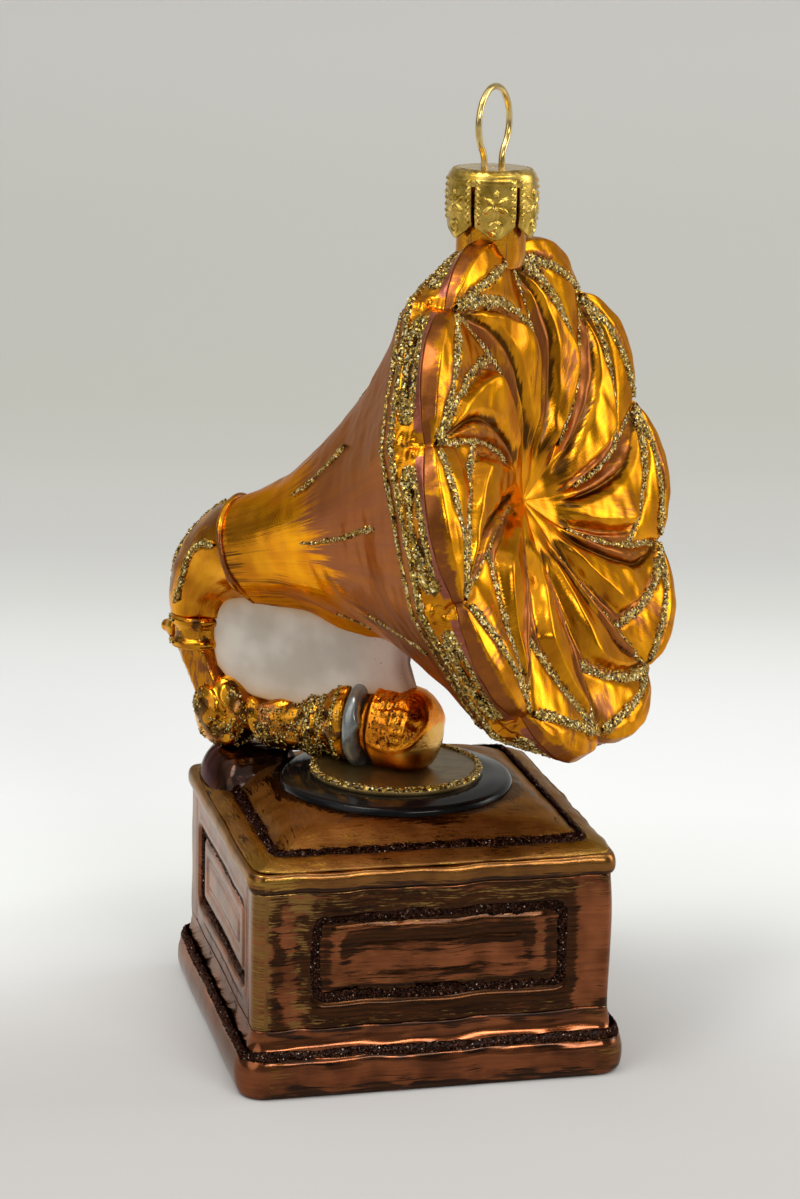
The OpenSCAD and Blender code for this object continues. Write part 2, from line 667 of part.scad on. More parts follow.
// Glitter: lines of small grains in glue, drawn as low beads that are half sunk in the glass

bead_sides = 5;
// A section of a bead at point k of a path. It lies across the path and bulges along lift
function bead_ring(path, k, lift, wide, looped) = let (
    n = len(path),
    before = looped ? path[(k + n - 1) % n] : path[max(k - 1, 0)],
    after = looped ? path[(k + 1) % n] : path[min(k + 1, n - 1)],
    side = unit(cross(after - before, lift)),
    up = unit(cross(side, after - before)))
    [for (i = [0 : bead_sides - 1]) let (a = 90 + 360 * i / bead_sides)
        path[k] + side * (wide / 2 * cos(a)) + up * (line_h * sin(a))];
module bead(path, lifts, wide = line_w, looped = false) {
    ring_solid([for (k = [0 : len(path) - 1])
        bead_ring(path, k, is_list(lifts[0]) ? lifts[k] : lifts, wide, looped)], looped);
}

module plinth_glitter() {
    color(dark_glitter) square_frame(half_w, corner_r)
        translate([corner_r + 0.7 * foot_out - sink, roll_h - line_h]) square([line_h + sink, line_w]);
}

module panel_glitter() {
    color(dark_glitter) on_each_wall() translate([0, 0, -panel_sunk - sink]) difference() {
        rounded_plate(panel_w, panel_h, panel_r, line_h + sink);
        translate([0, 0, -1]) rounded_plate(panel_w - 2 * line_w, panel_h - 2 * line_w, panel_r * 0.5, 3);
    }
}

module lid_glitter() {
    color(dark_glitter) translate([0, 0, z_hip - sink]) difference() {
        rounded_plate(2 * hip_half + line_w, 2 * hip_half + line_w, 2 * line_w, line_h + sink);
        translate([0, 0, -1]) rounded_plate(2 * hip_half - line_w, 2 * hip_half - line_w, line_w, 3);
    }
}

module label_glitter() {
    color(gold_glitter) rotate_extrude() translate([label_r - line_w, z_label_top - sink])
        square([line_w, line_h + sink]);
}

// Hoops round the flange, the arm and the ball
module arm_glitter() {
    color(gold_glitter) in_horn_plane() {
        on_arm_axis(flange[0] + 0.2) rotate_extrude() translate([flange_r - sink, 0])
            square([line_h + sink, flange_t - 0.4]);
        for (t = [0.62, 0.78]) along(ball, flange) translate([0, 0, arm_l * t - line_w / 2])
            rotate_extrude() translate([mix(arm_r, arm_end_r, (t - 0.45) / 0.55) - sink, 0])
                square([line_h + sink, line_w]);
        translate([ball[0], 0, ball[1]]) rotate([0, 20, 0]) rotate_extrude()
            translate([ball_r - sink, -line_w / 2]) square([line_h + sink, line_w]);
    }
}

// Lines down both sides of the elbow and one over its back
module elbow_glitter() {
    steps = [0.14 : 0.12 : 0.9];
    color(gold_glitter) in_horn_plane() for (a = [105, 180, 255])
        bead([for (t = steps) elbow_point(t, a, sink)],
            [for (t = steps) elbow_point(t, a, 0) - elbow_point(t, a, sink)]);
}

// Short lines along the flare, at every second corner of the bell
module horn_glitter() {
    color(gold_glitter) in_horn_plane() on_horn_axis() for (k = [0 : 2 : lobes - 1])
        let (turn = notch_angle + sector * k)
        bead([for (t = [0.5 : 0.08 : 0.83]) bell_point(flare_r(t) - sink, turn, throat_a + horn_l * t)],
            bell_point(1, turn, -0.6));
}

// A line round the bell, on the band, close to its back edge
module edge_glitter() {
    path = [for (i = [0 : 4 * lobes - 1]) let (w = (i % 4) / 4)
        bell_point(band_r(w, 0.93) - sink, notch_angle + sector * i / 4, mix(roll_z(w), -band_d, 0.93))];
    color(gold_glitter) in_horn_plane() on_horn_axis()
        bead(path, [for (p = path) [p[0], p[1], 0]], line_w * 0.9, true);
}

// An oval on each panel of the band
module band_glitter() {
    for (k = [0 : lobes - 1]) color(gold_glitter) in_horn_plane() on_horn_axis()
        let (path = [for (i = [0 : 13]) let (a = 360 * i / 14,
                w = 0.5 + 0.34 * cos(a), q = 0.44 + 0.24 * sin(a))
            bell_point(band_r(w, q) - sink, notch_angle + sector * (k + w), mix(roll_z(w), -band_d, q))])
        bead(path, [for (p = path) [p[0], p[1], 0]], line_w * 0.8, true);
}

// One line along the rim of each lobe
module rim_glitter() {
    color(gold_glitter) in_horn_plane() on_horn_axis() for (k = [0 : lobes - 1])
        bead([for (w = [0.1 : 0.16 : 0.91])
            bell_point(notch_r * 0.985, notch_angle + sector * (k + w), face_z(0.985, w))], [0, 0, 1]);
}

// The straight line from each notch to the middle, and the curved edge of each petal
module petal_glitter() {
    color(gold_glitter) in_horn_plane() on_horn_axis() for (k = [0 : lobes - 1])
        let (turn = notch_angle + sector * k) {
            bead([for (p = [0.3 : 0.13 : 0.96]) bell_point(notch_r * p, turn, ridge_z(p))], [0, 0, 1]);
            bead([for (w = [0.14 : 0.17 : 0.83])
                bell_point(notch_r * edge_p(w), turn + sector * w, face_z(edge_p(w), w))], [0, 0, 1]);
        }
}

plinth();
case();
cornice();
lid();
record();
record_label();
arm_foot();
arm_ball();
tone_arm();
sound_box_ring();
sound_box();
riser();
collar();
elbow();
throat_ring();
horn();
bell_band();
bell_face();
web();
neck();
cap();
hanger();
plinth_glitter();
panel_glitter();
lid_glitter();
label_glitter();
arm_glitter();
elbow_glitter();
horn_glitter();
edge_glitter();
band_glitter();
rim_glitter();
petal_glitter();
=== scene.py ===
"""A blown-glass hanging ornament in the shape of a horn gramophone.

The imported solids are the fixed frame. Each sub-assembly here is built in millimetres from the sizes
that its solids have, and rides on the body that it belongs to.
"""
import logging
import math
from dataclasses import dataclass, field
from enum import Enum
from functools import cache, cached_property, partial
from typing import Callable, Sequence

import bpy
import numpy as np
from mathutils import Matrix, Vector


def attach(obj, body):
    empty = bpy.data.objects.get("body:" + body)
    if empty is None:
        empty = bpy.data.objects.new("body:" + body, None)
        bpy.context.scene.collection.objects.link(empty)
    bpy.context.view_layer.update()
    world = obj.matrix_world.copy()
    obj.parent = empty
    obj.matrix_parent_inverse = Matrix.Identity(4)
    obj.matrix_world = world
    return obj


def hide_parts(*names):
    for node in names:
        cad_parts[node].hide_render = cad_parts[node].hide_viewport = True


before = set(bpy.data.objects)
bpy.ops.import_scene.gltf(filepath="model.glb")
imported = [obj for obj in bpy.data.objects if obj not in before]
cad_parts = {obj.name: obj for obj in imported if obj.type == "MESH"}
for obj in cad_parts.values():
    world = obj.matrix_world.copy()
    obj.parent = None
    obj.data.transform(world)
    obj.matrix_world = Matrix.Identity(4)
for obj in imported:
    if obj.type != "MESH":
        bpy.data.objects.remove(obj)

LOG = logging.getLogger("ornament")
MM = 0.001
BAKE_MAP = "OFBake"
TURN = 2 * math.pi
GLUE_STEP = 0.32
CLOSED = {"close_first": True, "close_last": True}
Array = np.ndarray
Number = Array | float
Colour = tuple[float, float, float]
Socket = bpy.types.NodeSocket


class Body(Enum):
    """Bodies that the pieces ride on."""

    GLASS = "glass"
    CAP = "cap"
    HANGER = "hanger"


class Slot(Enum):
    """Finishes that the record names."""

    COPPER = "copper_lacquer"
    OLIVE = "olive_lacquer"
    BLACK = "black_lacquer"
    LABEL = "gold_label"
    AMBER = "amber_lacquer"
    ROSE = "rose_lacquer"
    GREY = "grey_lacquer"
    FROST = "frosted_lacquer"
    GILT_SHEET = "gilt_sheet"
    GILT_WIRE = "gilt_wire"
    GOLD_GLITTER = "gold_glitter"
    BROWN_GLITTER = "brown_glitter"


# Numbers


def ease(t: Number) -> Array:
    """Smooth step: 0 up to t = 0, 1 from t = 1."""
    t = np.clip(t, 0.0, 1.0)
    return t * t * (3.0 - 2.0 * t)


def mix(a: Number, b: Number, t: Number) -> Array:
    """The value at share t of the way from a to b."""
    return a + (b - a) * t


def swell(x: Number, width: Number) -> Array:
    """A round bell curve that is 1 at x = 0 and fades over width."""
    return np.exp(-np.square(np.asarray(x) / width))


def unit(v: Array) -> Array:
    """Vectors brought to length 1."""
    return v / np.maximum(np.linalg.norm(v, axis=-1, keepdims=True), 1e-12)


def circle(count: int) -> Array:
    """Even angles all round, in radians."""
    return np.arange(count) * 2 * math.pi / count


def xyz(x: Number, y: Number, z: Number) -> Array:
    """Three coordinates as points."""
    return np.stack(np.broadcast_arrays(x, y, z), -1)


def spun(turn: Array, reach: Number, z: Number) -> Array:
    """Points at an angle round the Z axis, at a reach from it and a height."""
    return xyz(np.cos(turn) * reach, np.sin(turn) * reach, z)


def table(rows: Array, columns: Array) -> list[Array]:
    """A value for each row and one for each column, both as grids."""
    return np.meshgrid(rows, columns, indexing="ij")


def wander(points: Array, reach: float, seed: int) -> Array:
    """A soft random wave through space.

    Args:
        points: Places, in millimetres, in the last axis.
        reach: Typical distance from crest to crest, in millimetres.
        seed: Which wave.

    Returns:
        Values that mostly lie between -1 and 1.
    """
    rng = np.random.default_rng(seed)
    total = np.zeros(points.shape[:-1])
    for _ in range(9):
        way = unit(rng.normal(size=3)) * rng.uniform(0.6, 1.7) * 2 * math.pi / reach
        total += np.sin(points @ way + rng.uniform(0, TURN))
    return total / 3.0


def plate_edge(x: Array, y: Array, w: float, h: float, r: float) -> Array:
    """Distance outside a rectangle of w by h with corners of radius r; negative inside it."""
    qx, qy = np.abs(x) - (w / 2 - r), np.abs(y) - (h / 2 - r)
    return np.hypot(np.maximum(qx, 0), np.maximum(qy, 0)) + np.minimum(np.maximum(qx, qy), 0) - r


def run_along(path: Array) -> Array:
    """Distance along a path at each of its points."""
    return np.concatenate([[0.0], np.cumsum(np.linalg.norm(np.diff(path, axis=0), axis=1))])


def resample(path: Array, step: float, closed: bool = False, also: Array | None = None) -> tuple[Array, Array | None]:
    """A path with its points evenly spaced.

    Args:
        path: Points, in order.
        step: The wished spacing.
        closed: Whether the last point runs on to the first.
        also: Values that go with the points.

    Returns:
        The new points, and the values at them.
    """
    if closed:
        path = np.vstack([path, path[:1]])
        also = None if also is None else np.vstack([also, also[:1]])
    run = run_along(path)
    count = max(3, int(round(run[-1] / step)) + 1)
    at = np.linspace(0, run[-1], count)[: count - 1 if closed else count]
    fresh, values = (None if v is None else np.stack([np.interp(at, run, column) for column in v.T], axis=1)
                     for v in (path, also))
    return fresh, values


# Meshes


@dataclass
class Bits:
    """Loose mesh data in millimetres that is still to be joined."""

    points: Array
    faces: list[Array]
    marks: dict[str, Array] = field(default_factory=dict)
    maps: list[Array] = field(default_factory=list)


@dataclass
class Skin:
    """A grid of points, rows by columns, that becomes a surface.

    Columns run anticlockwise, and rows upwards, for a face that looks outwards.
    """

    points: Array
    around: bool = True
    ring: bool = False
    close_first: bool = False
    close_last: bool = False
    flip: bool = False
    marks: dict[str, Array] = field(default_factory=dict)

    def bits(self) -> Bits:
        """The grid's faces, with a map that lays it out flat."""
        rows, cols = self.points.shape[:2]
        points = self.points.reshape(-1, 3)
        marks = {k: np.asarray(v, float).reshape(rows * cols, -1) for k, v in self.marks.items()}
        tall, wide = (rows if self.ring else rows - 1), (cols if self.around else cols - 1)
        i, j = table(np.arange(tall), np.arange(wide))
        corner = [(i, j), (i, j + 1), (i + 1, j + 1), (i + 1, j)]
        quads = np.stack([(a % rows) * cols + b % cols for a, b in corner], axis=-1).reshape(-1, 4)
        flat = np.stack([np.stack([b / wide, mix(0.04, 0.96, a / tall)], axis=-1) for a, b in corner], axis=2)
        faces, maps = [quads], [flat.reshape(-1, 4, 2)]
        for wanted, row, v in ((self.close_first, 0, 0.0), (self.close_last, rows - 1, 1.0)):
            if not wanted:
                continue
            centre = np.full(wide, len(points))
            points = np.vstack([points, self.points[row].mean(axis=0)])
            marks = {k: np.vstack([m, m[row * cols:(row + 1) * cols].mean(axis=0)]) for k, m in marks.items()}
            j = np.arange(wide)
            order = (j + 1, j) if row == 0 else (j, j + 1)
            faces.append(np.stack([centre, *(row * cols + e % cols for e in order)], axis=-1))
            edge = np.full(wide, mix(0.04, 0.96, row / tall))
            spots = [((j + 0.5) / wide, np.full(wide, v)), *((e / wide, edge) for e in order)]
            maps.append(np.stack([np.stack(s, -1) for s in spots], axis=1))
        if self.flip:
            faces, maps = ([g[:, ::-1] for g in groups] for groups in (faces, maps))
        return Bits(points, faces, marks, maps)


def joined(parts: Sequence[Bits]) -> Bits:
    """Several bits as one, with their maps side by side."""
    widths = {k: m.shape[1] for p in parts for k, m in p.marks.items()}
    spans = [float(np.prod(np.ptp(p.points, axis=0) + 1.0)) ** (1 / 3) for p in parts]
    starts = np.concatenate([[0.0], np.cumsum(spans)]) / sum(spans)
    faces, maps, base = [], [], 0
    for n, part in enumerate(parts):
        faces += [f + base for f in part.faces]
        for m in part.maps:
            m = m.copy()
            m[..., 0] = mix(starts[n], starts[n + 1] - 0.004 * (len(parts) > 1), m[..., 0])
            maps.append(m)
        base += len(part.points)
    marks = {k: np.vstack([p.marks.get(k, np.zeros((len(p.points), widths[k]))) for p in parts])
             for k in sorted(widths)}
    return Bits(np.vstack([p.points for p in parts]), faces, marks, maps if all(p.maps for p in parts) else [])


def make_piece(name: str, parts: Sequence[Bits | Skin], smooth: bool = True) -> bpy.types.Object:
    """A mesh object in metres from bits in millimetres.

    Args:
        name: The piece's name.
        parts: What it is joined from.
        smooth: Whether its faces shade as one round surface.

    Returns:
        The object, linked to the scene.
    """
    bits = joined([p.bits() if isinstance(p, Skin) else p for p in parts])
    mesh = bpy.data.meshes.new(name)
    mesh.from_pydata((bits.points * MM).tolist(), [], [f for group in bits.faces for f in group.tolist()])
    for key, values in bits.marks.items():
        kind, slot = ("FLOAT", "value") if values.shape[1] == 1 else ("FLOAT_VECTOR", "vector")
        mesh.attributes.new(key, kind, "POINT").data.foreach_set(slot, values.astype(np.float32).ravel())
    if bits.maps:
        flat = np.concatenate([m.reshape(-1, 2) for m in bits.maps]).astype(np.float32)
        mesh.uv_layers.new(name=BAKE_MAP, do_init=False).uv.foreach_set("vector", flat.ravel())
    mesh.polygons.foreach_set("use_smooth", np.full(len(mesh.polygons), smooth))
    mesh.update()
    made = bpy.data.objects.new(name, mesh)
    bpy.context.scene.collection.objects.link(made)
    return made


def dress(piece: bpy.types.Object, finish: "Finish", body: Body, *nodes: str) -> None:
    """Gives a piece its finish and its body, and says which solids it stands for."""
    piece.data.materials.clear()
    piece.data.materials.append(finish.material())
    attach(piece, body.value)
    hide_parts(*nodes)
    LOG.info("%s: %d faces, for %s", piece.name, len(piece.data.polygons), ", ".join(nodes))


def glass(name: str, grid: Array, marks: dict[str, Array], finish: "Finish", node: str, **how: bool) -> None:
    """A piece of the glass body from one grid, closed at both ends if nothing else is said."""
    dress(make_piece(name, [Skin(grid, marks=marks, **(how or CLOSED))]), finish, Body.GLASS, node)


def normals_of(points: Array) -> Array:
    """Outward unit normals of a grid whose last column runs on to its first."""
    return unit(np.cross(np.roll(points, -1, 1) - np.roll(points, 1, 1), np.gradient(points, axis=0)))


def puffed(grid: Array, rise: Array) -> Array:
    """A grid that rises outwards from itself."""
    return grid + normals_of(grid) * rise[..., None]


# Frames


@dataclass(frozen=True)
class Frame:
    """A place with its own three axes."""

    origin: Sequence[float] = (0, 0, 0)
    x: Sequence[float] = (1, 0, 0)
    y: Sequence[float] = (0, 1, 0)
    z: Sequence[float] = (0, 0, 1)

    def points(self, local: Array) -> Array:
        """Local points brought into the ornament's frame."""
        return np.asarray(self.origin) + self.ways(local)

    def ways(self, local: Array) -> Array:
        """Local directions brought into the ornament's frame."""
        return local @ np.array([self.x, self.y, self.z])

    def line(self, z: Array, x: Number = 0.0) -> Array:
        """A column of points at heights z, x off the Z axis."""
        return self.points(xyz(x, 0.0, z))[:, None]


@dataclass(frozen=True)
class HornPlane:
    """The upright plane that holds the arm, the elbow, the horn and the neck, and its main points.

    Points of the plane have two numbers, the distance ahead of the case's middle and the height.
    """

    yaw: float = -40.0
    tilt: float = 15.4
    ball_back: float = 24.6985
    arm_z: float = 39.7
    ball_drop: float = 0.8
    ring_back: float = 5.9
    flange_t: float = 1.5
    collar_back: float = 5.2
    collar_up: float = 8.0
    collar_h: float = 4.4
    throat_out: float = 7.6
    throat_up: float = 9.8
    horn_l: float = 40.0
    band_d: float = 5.0
    notch_r: float = 30.4
    neck_back: float = 1.5
    neck_h: float = 10.2

    @cached_property
    def ahead(self) -> Array:
        """Level direction of the plane, towards the bell."""
        a = math.radians(self.yaw)
        return np.array([math.cos(a), math.sin(a), 0.0])

    @cached_property
    def across(self) -> Array:
        """Level direction square to the plane."""
        return np.array([-self.ahead[1], self.ahead[0], 0.0])

    @cached_property
    def ball(self) -> Array:
        """Middle of the ball at the arm's foot."""
        return np.array([-self.ball_back, self.arm_z - self.ball_drop])

    @cached_property
    def flange(self) -> Array:
        """Middle of the arm's flange, at its back."""
        return np.array([-self.ring_back - self.flange_t, self.arm_z])

    @cached_property
    def collar(self) -> Array:
        """Middle of the collar's underside."""
        return self.ball + [-self.collar_back, self.collar_up]

    @cached_property
    def collar_top(self) -> Array:
        """Middle of the collar's top."""
        return self.collar + [0, self.collar_h]

    @cached_property
    def throat(self) -> Array:
        """Middle of the horn's throat."""
        return self.collar_top + [self.throat_out, self.throat_up]

    @cached_property
    def way(self) -> Array:
        """Direction of the horn's axis."""
        a = math.radians(self.tilt)
        return np.array([math.cos(a), math.sin(a)])

    @cached_property
    def bell(self) -> Array:
        """Middle of the bell, level with its notches."""
        return self.throat + (self.horn_l + self.band_d) * self.way

    @cached_property
    def neck(self) -> Array:
        """Middle of the neck's mouth."""
        return self.bell + self.notch_r * np.array([-self.way[1], self.way[0]]) + [-self.neck_back, self.neck_h]

    def at(self, s: Number, t: Number, z: Number) -> Array:
        """The point s ahead of the case's middle, t across the plane and z up."""
        s, t, z = (np.asarray(v, float)[..., None] for v in np.broadcast_arrays(s, t, z))
        return s * self.ahead + t * self.across + z * np.array([0, 0, 1.0])

    def along(self, p: Array, q: Array) -> Frame:
        """A frame at p with its Z axis towards q, both points of the plane, and its X axis below it."""
        way = unit(np.asarray(q, float) - np.asarray(p, float))
        return Frame(self.at(p[0], 0, p[1]), self.at(way[1], 0, -way[0]), self.across, self.at(way[0], 0, way[1]))

    def upright(self, s: float, z: float) -> Frame:
        """An upright frame at a point of the plane, with its X axis ahead."""
        return Frame(self.at(s, 0, z), self.ahead, self.across)

    def on_axis(self, r: Number, turn: Number, z: Number) -> Array:
        """The point at radius r from the horn's axis, turned from the top by degrees, z ahead of the notches."""
        turn = np.radians(np.asarray(turn, float))
        up = r * np.cos(turn)
        return self.at(self.bell[0] - up * self.way[1] + z * self.way[0], r * np.sin(turn),
                       self.bell[1] + up * self.way[0] + z * self.way[1])


PLANE = HornPlane()


def lathe(outline: Array, columns: int, place: Frame) -> Array:
    """A grid turned from an outline.

    Args:
        outline: Rows of radius and height.
        columns: How many points go round.
        place: Where the turning axis, its Z axis, stands.

    Returns:
        The grid, rows by columns.
    """
    return place.points(spun(circle(columns), outline[:, :1], outline[:, 1:2]))


def rounded(corners: Sequence[tuple[float, float, float]], steps: int = 6) -> Array:
    """An outline whose corners are rounded.

    Args:
        corners: Radius, height and rounding of each corner in turn.
        steps: Points on each rounding.

    Returns:
        The outline's points.
    """
    spots = np.array([c[:2] for c in corners], float)
    line: list[Array] = []
    for k, (_, _, r) in enumerate(corners):
        if r <= 0 or k in (0, len(corners) - 1):
            line.append(spots[k])
            continue
        before, after = spots[k - 1] - spots[k], spots[k + 1] - spots[k]
        reach = min(r, np.linalg.norm(before) * 0.5, np.linalg.norm(after) * 0.5)
        a, b = spots[k] + unit(before) * reach, spots[k] + unit(after) * reach
        line += [(1 - t) ** 2 * a + 2 * t * (1 - t) * spots[k] + t * t * b for t in np.linspace(0, 1, steps)]
    return finely(np.array(line), 0.5)


def finely(line: Array, step: float) -> Array:
    """An outline with extra points wherever two are more than a step apart."""
    out = [line[:1]]
    for a, b in zip(line[:-1], line[1:]):
        count = max(1, int(math.ceil(np.linalg.norm(b - a) / step)))
        out.append(a + (b - a) * np.linspace(0, 1, count + 1)[1:, None])
    return np.vstack(out)


# Finishes


class Sketch:
    """Writes the nodes of a material or of a node group."""

    def __init__(self, tree: bpy.types.NodeTree) -> None:
        """Starts on an empty tree."""
        self.tree = tree
        tree.nodes.clear()

    def node(self, kind: str, values: dict[str | int, object] | None = None, **settings: object) -> bpy.types.Node:
        """Adds a node.

        Args:
            kind: The node's type name, without its ShaderNode prefix.
            values: Numbers or other sockets for its inputs, by name or place.
            **settings: The node's own properties.

        Returns:
            The node.
        """
        made = self.tree.nodes.new(kind if kind.startswith("Node") else "ShaderNode" + kind)
        for key, value in settings.items():
            setattr(made, key, value)
        for key, value in (values or {}).items():
            if isinstance(value, Socket):
                self.tree.links.new(value, made.inputs[key])
            else:
                made.inputs[key].default_value = value
        return made

    def value(self, kind: str, a: object, b: object, clamp: bool = False) -> Socket:
        """Arithmetic on two numbers."""
        return self.node("Math", {0: a, 1: b}, operation=kind, use_clamp=clamp).outputs[0]

    def times(self, a: object, b: object, clamp: bool = False) -> Socket:
        """A number times another."""
        return self.value("MULTIPLY", a, b, clamp)

    def line(self, a: object, by: float, plus: float) -> Socket:
        """A number times a second, plus a third."""
        return self.value("ADD", self.times(a, by), plus)

    def total(self, a: object, share_a: float, b: object, share_b: float) -> Socket:
        """The sum of a share of one number and a share of another."""
        return self.value("ADD", self.times(a, share_a), self.times(b, share_b))

    def vector(self, kind: str, a: object, b: object = (0, 0, 0)) -> Socket:
        """Arithmetic on two vectors."""
        return self.node("VectorMath", {0: a, 1: b}, operation=kind).outputs[0]

    def scaled(self, a: object, by: object) -> Socket:
        """A vector times a number."""
        return self.node("VectorMath", {0: a, "Scale": by}, operation="SCALE").outputs[0]

    def mix(self, share: object, a: object, b: object) -> Socket:
        """A colour between two others."""
        a, b = ((*c, 1.0) if isinstance(c, tuple) and len(c) == 3 else c for c in (a, b))
        return self.node("Mix", {0: share, 6: a, 7: b}, data_type="RGBA").outputs[2]

    def blend(self, share: object, a: object, b: object) -> Socket:
        """A number between two others."""
        return self.node("Mix", {0: share, 2: a, 3: b}, data_type="FLOAT").outputs[0]

    def noise(self, vector: object, scale: object, detail: float, rough: float) -> Socket:
        """Soft noise around 0.5."""
        values = {"Vector": vector, "Scale": scale, "Detail": detail, "Roughness": rough}
        return self.node("TexNoise", values).outputs[0]

    def step(self, value: object, low: object, high: object) -> Socket:
        """A smooth step from 0 at low to 1 at high."""
        return self.node("MapRange", {"Value": value, "From Min": low, "From Max": high},
                         interpolation_type="SMOOTHSTEP").outputs[0]

    def cells(self, vector: object, scale: object) -> tuple[dict[str, Socket], Socket]:
        """Cells of space, and a random number for each."""
        cells = self.node("TexVoronoi", {"Vector": vector, "Scale": scale}).outputs
        return cells, self.node("TexWhiteNoise", {"Vector": cells["Position"]}, noise_dimensions="3D").outputs[0]

    def mark(self, name: str, kind: str = "Fac") -> Socket:
        """A mark of the mesh."""
        return self.node("Attribute", attribute_name=name, attribute_type="GEOMETRY").outputs[kind]

    def place(self) -> Socket:
        """The point on the surface, in millimetres."""
        return self.scaled(self.node("TexCoord").outputs["Object"], 1000.0)

    def group(self, effect: bpy.types.NodeTree, **values: object) -> dict[str, Socket]:
        """Places an effect with its own values, and gives its outputs."""
        made = self.node("Group")
        made.node_tree = effect
        for key, value in values.items():
            if isinstance(value, Socket):
                self.tree.links.new(value, made.inputs[key])
            else:
                made.inputs[key].default_value = value
        return made.outputs

    def bump(self, strength: float, depth: float, height: Socket) -> Socket:
        """The normal of a surface with fine relief, depth in metres."""
        return self.node("Bump", {"Strength": strength, "Distance": depth, "Height": height}).outputs[0]

    def shader(self, colour: object, rough: object, normal: Socket, **more: object) -> bpy.types.Node:
        """A Principled shader; more has its other inputs, with _ for each space of their names."""
        values = {"Base Color": colour, "Roughness": rough, "Normal": normal}
        return self.node("BsdfPrincipled", values | {key.replace("_", " "): value for key, value in more.items()})


def effect(gives: str, **takes: float | None) -> Callable:
    """Makes a node group of a function that writes the group's nodes.

    Args:
        gives: Names of its outputs, in the order in which the function returns their sockets.
        **takes: Its inputs, which the function gets after its sketch: None for a vector, or a number's default.

    Returns:
        What turns the function into one that builds the group when it is first called, and gives it each time.
    """
    def wrap(write: Callable[..., tuple[Socket, ...]]) -> Callable[[], bpy.types.NodeTree]:
        """Wraps the function that writes the nodes."""
        @cache
        def build() -> bpy.types.NodeTree:
            """The group, built once."""
            tree = bpy.data.node_groups.new(write.__name__.replace("_", " "), "ShaderNodeTree")
            new_socket = tree.interface.new_socket
            for key, default in takes.items():
                if default is None:
                    new_socket(key, in_out="INPUT", socket_type="NodeSocketVector")
                else:
                    new_socket(key, in_out="INPUT", socket_type="NodeSocketFloat").default_value = default
            for key in gives.split():
                kind = "Vector" if key == "Normal" else "Float"
                new_socket(key, in_out="OUTPUT", socket_type="NodeSocket" + kind)
            s = Sketch(tree)
            inputs, outputs = s.node("NodeGroupInput").outputs, s.node("NodeGroupOutput").inputs
            for key, given in zip(gives.split(), write(s, *(inputs[key] for key in takes))):
                tree.links.new(given, outputs[key])
            return tree
        return build
    return wrap


@effect("Mask Height", Vector=None, Scale=1.0, Bite=1.0)
def brush_strokes(s: Sketch, vector: Socket, scale: Socket, bite: Socket) -> tuple[Socket, ...]:
    """Hairy strokes of a wide brush, drawn out along the vector's short-scaled axis."""
    both = s.total(s.noise(vector, scale, 3.0, 0.6), 0.62, s.noise(vector, s.times(scale, 4.3), 3.0, 0.65), 0.38)
    sharp = s.times(s.value("SUBTRACT", both, 0.5), s.times(bite, 3.2))
    return s.value("ADD", sharp, 0.5, clamp=True), both


@effect("Mask Grain", Vector=None, Scale=0.3)
def uneven_coat(s: Sketch, vector: Socket, scale: Socket) -> tuple[Socket, ...]:
    """Slow changes in a coat's depth, with a little fine grain."""
    return s.step(s.noise(vector, scale, 2.5, 0.5), 0.32, 0.68), s.noise(vector, s.times(scale, 14.0), 4.0, 0.6)


@effect("Mask", Mark=0.0, Strokes=0.5, Bite=1.0)
def brushed_edge(s: Sketch, mark: Socket, strokes: Socket, bite: Socket) -> tuple[Socket, ...]:
    """Where a brushed coat lies: all of a full mark, none of an empty one, and strokes in between."""
    raised = s.times(mark, s.value("ADD", bite, 1.0))
    held = s.times(s.value("SUBTRACT", 1.0, strokes), bite)
    return s.step(s.value("SUBTRACT", raised, held), 0.25, 0.75),


@effect("Normal Tint", Vector=None, Scale=4.0, Tilt=1.0)
def glitter_facets(s: Sketch, vector: Socket, scale: Socket, tilt: Socket) -> tuple[Socket, ...]:
    """Small flat grains that each face their own way and have their own tint."""
    cells, tint = s.cells(vector, scale)
    lean = s.scaled(s.vector("SUBTRACT", cells["Color"], (0.5, 0.5, 0.5)), s.times(tilt, 2.0))
    return s.vector("NORMALIZE", s.vector("ADD", s.node("NewGeometry").outputs["Normal"], lean)), tint


@effect("Mask", Vector=None, Scale=1.0, Size=0.2)
def paint_specks(s: Sketch, vector: Socket, scale: Socket, size: Socket) -> tuple[Socket, ...]:
    """Scattered round specks: 1 in a speck and 0 between them."""
    cells, own = s.cells(vector, scale)
    reach = s.times(size, own)
    return s.step(cells["Distance"], reach, s.times(reach, 0.5)),


@dataclass(frozen=True)
class Finish:
    """What all finishes share: a name, a slot, and one material that is made when it is first asked for."""

    name: str
    slot: Slot

    def material(self) -> bpy.types.Material:
        """The finish's material."""
        found = bpy.data.materials.get(self.name)
        if found is not None:
            return found
        made = bpy.data.materials.new(self.name)
        made.use_nodes = True
        s = Sketch(made.node_tree)
        s.node("OutputMaterial", {"Surface": self.write(s).outputs[0]})
        return made

    def write(self, s: Sketch) -> bpy.types.Node:
        """Writes the finish's nodes and returns its shader."""
        raise NotImplementedError


@dataclass(frozen=True)
class Coating:
    """A brushed coat that lies where a mark on the mesh says.

    mark is the mark's name, scale the strokes per millimetre, bite how ragged its edge is, and other the colour
    between its strokes.
    """

    mark: str
    colour: Colour
    roughness: float
    metallic: float
    scale: float
    bite: float
    other: Colour


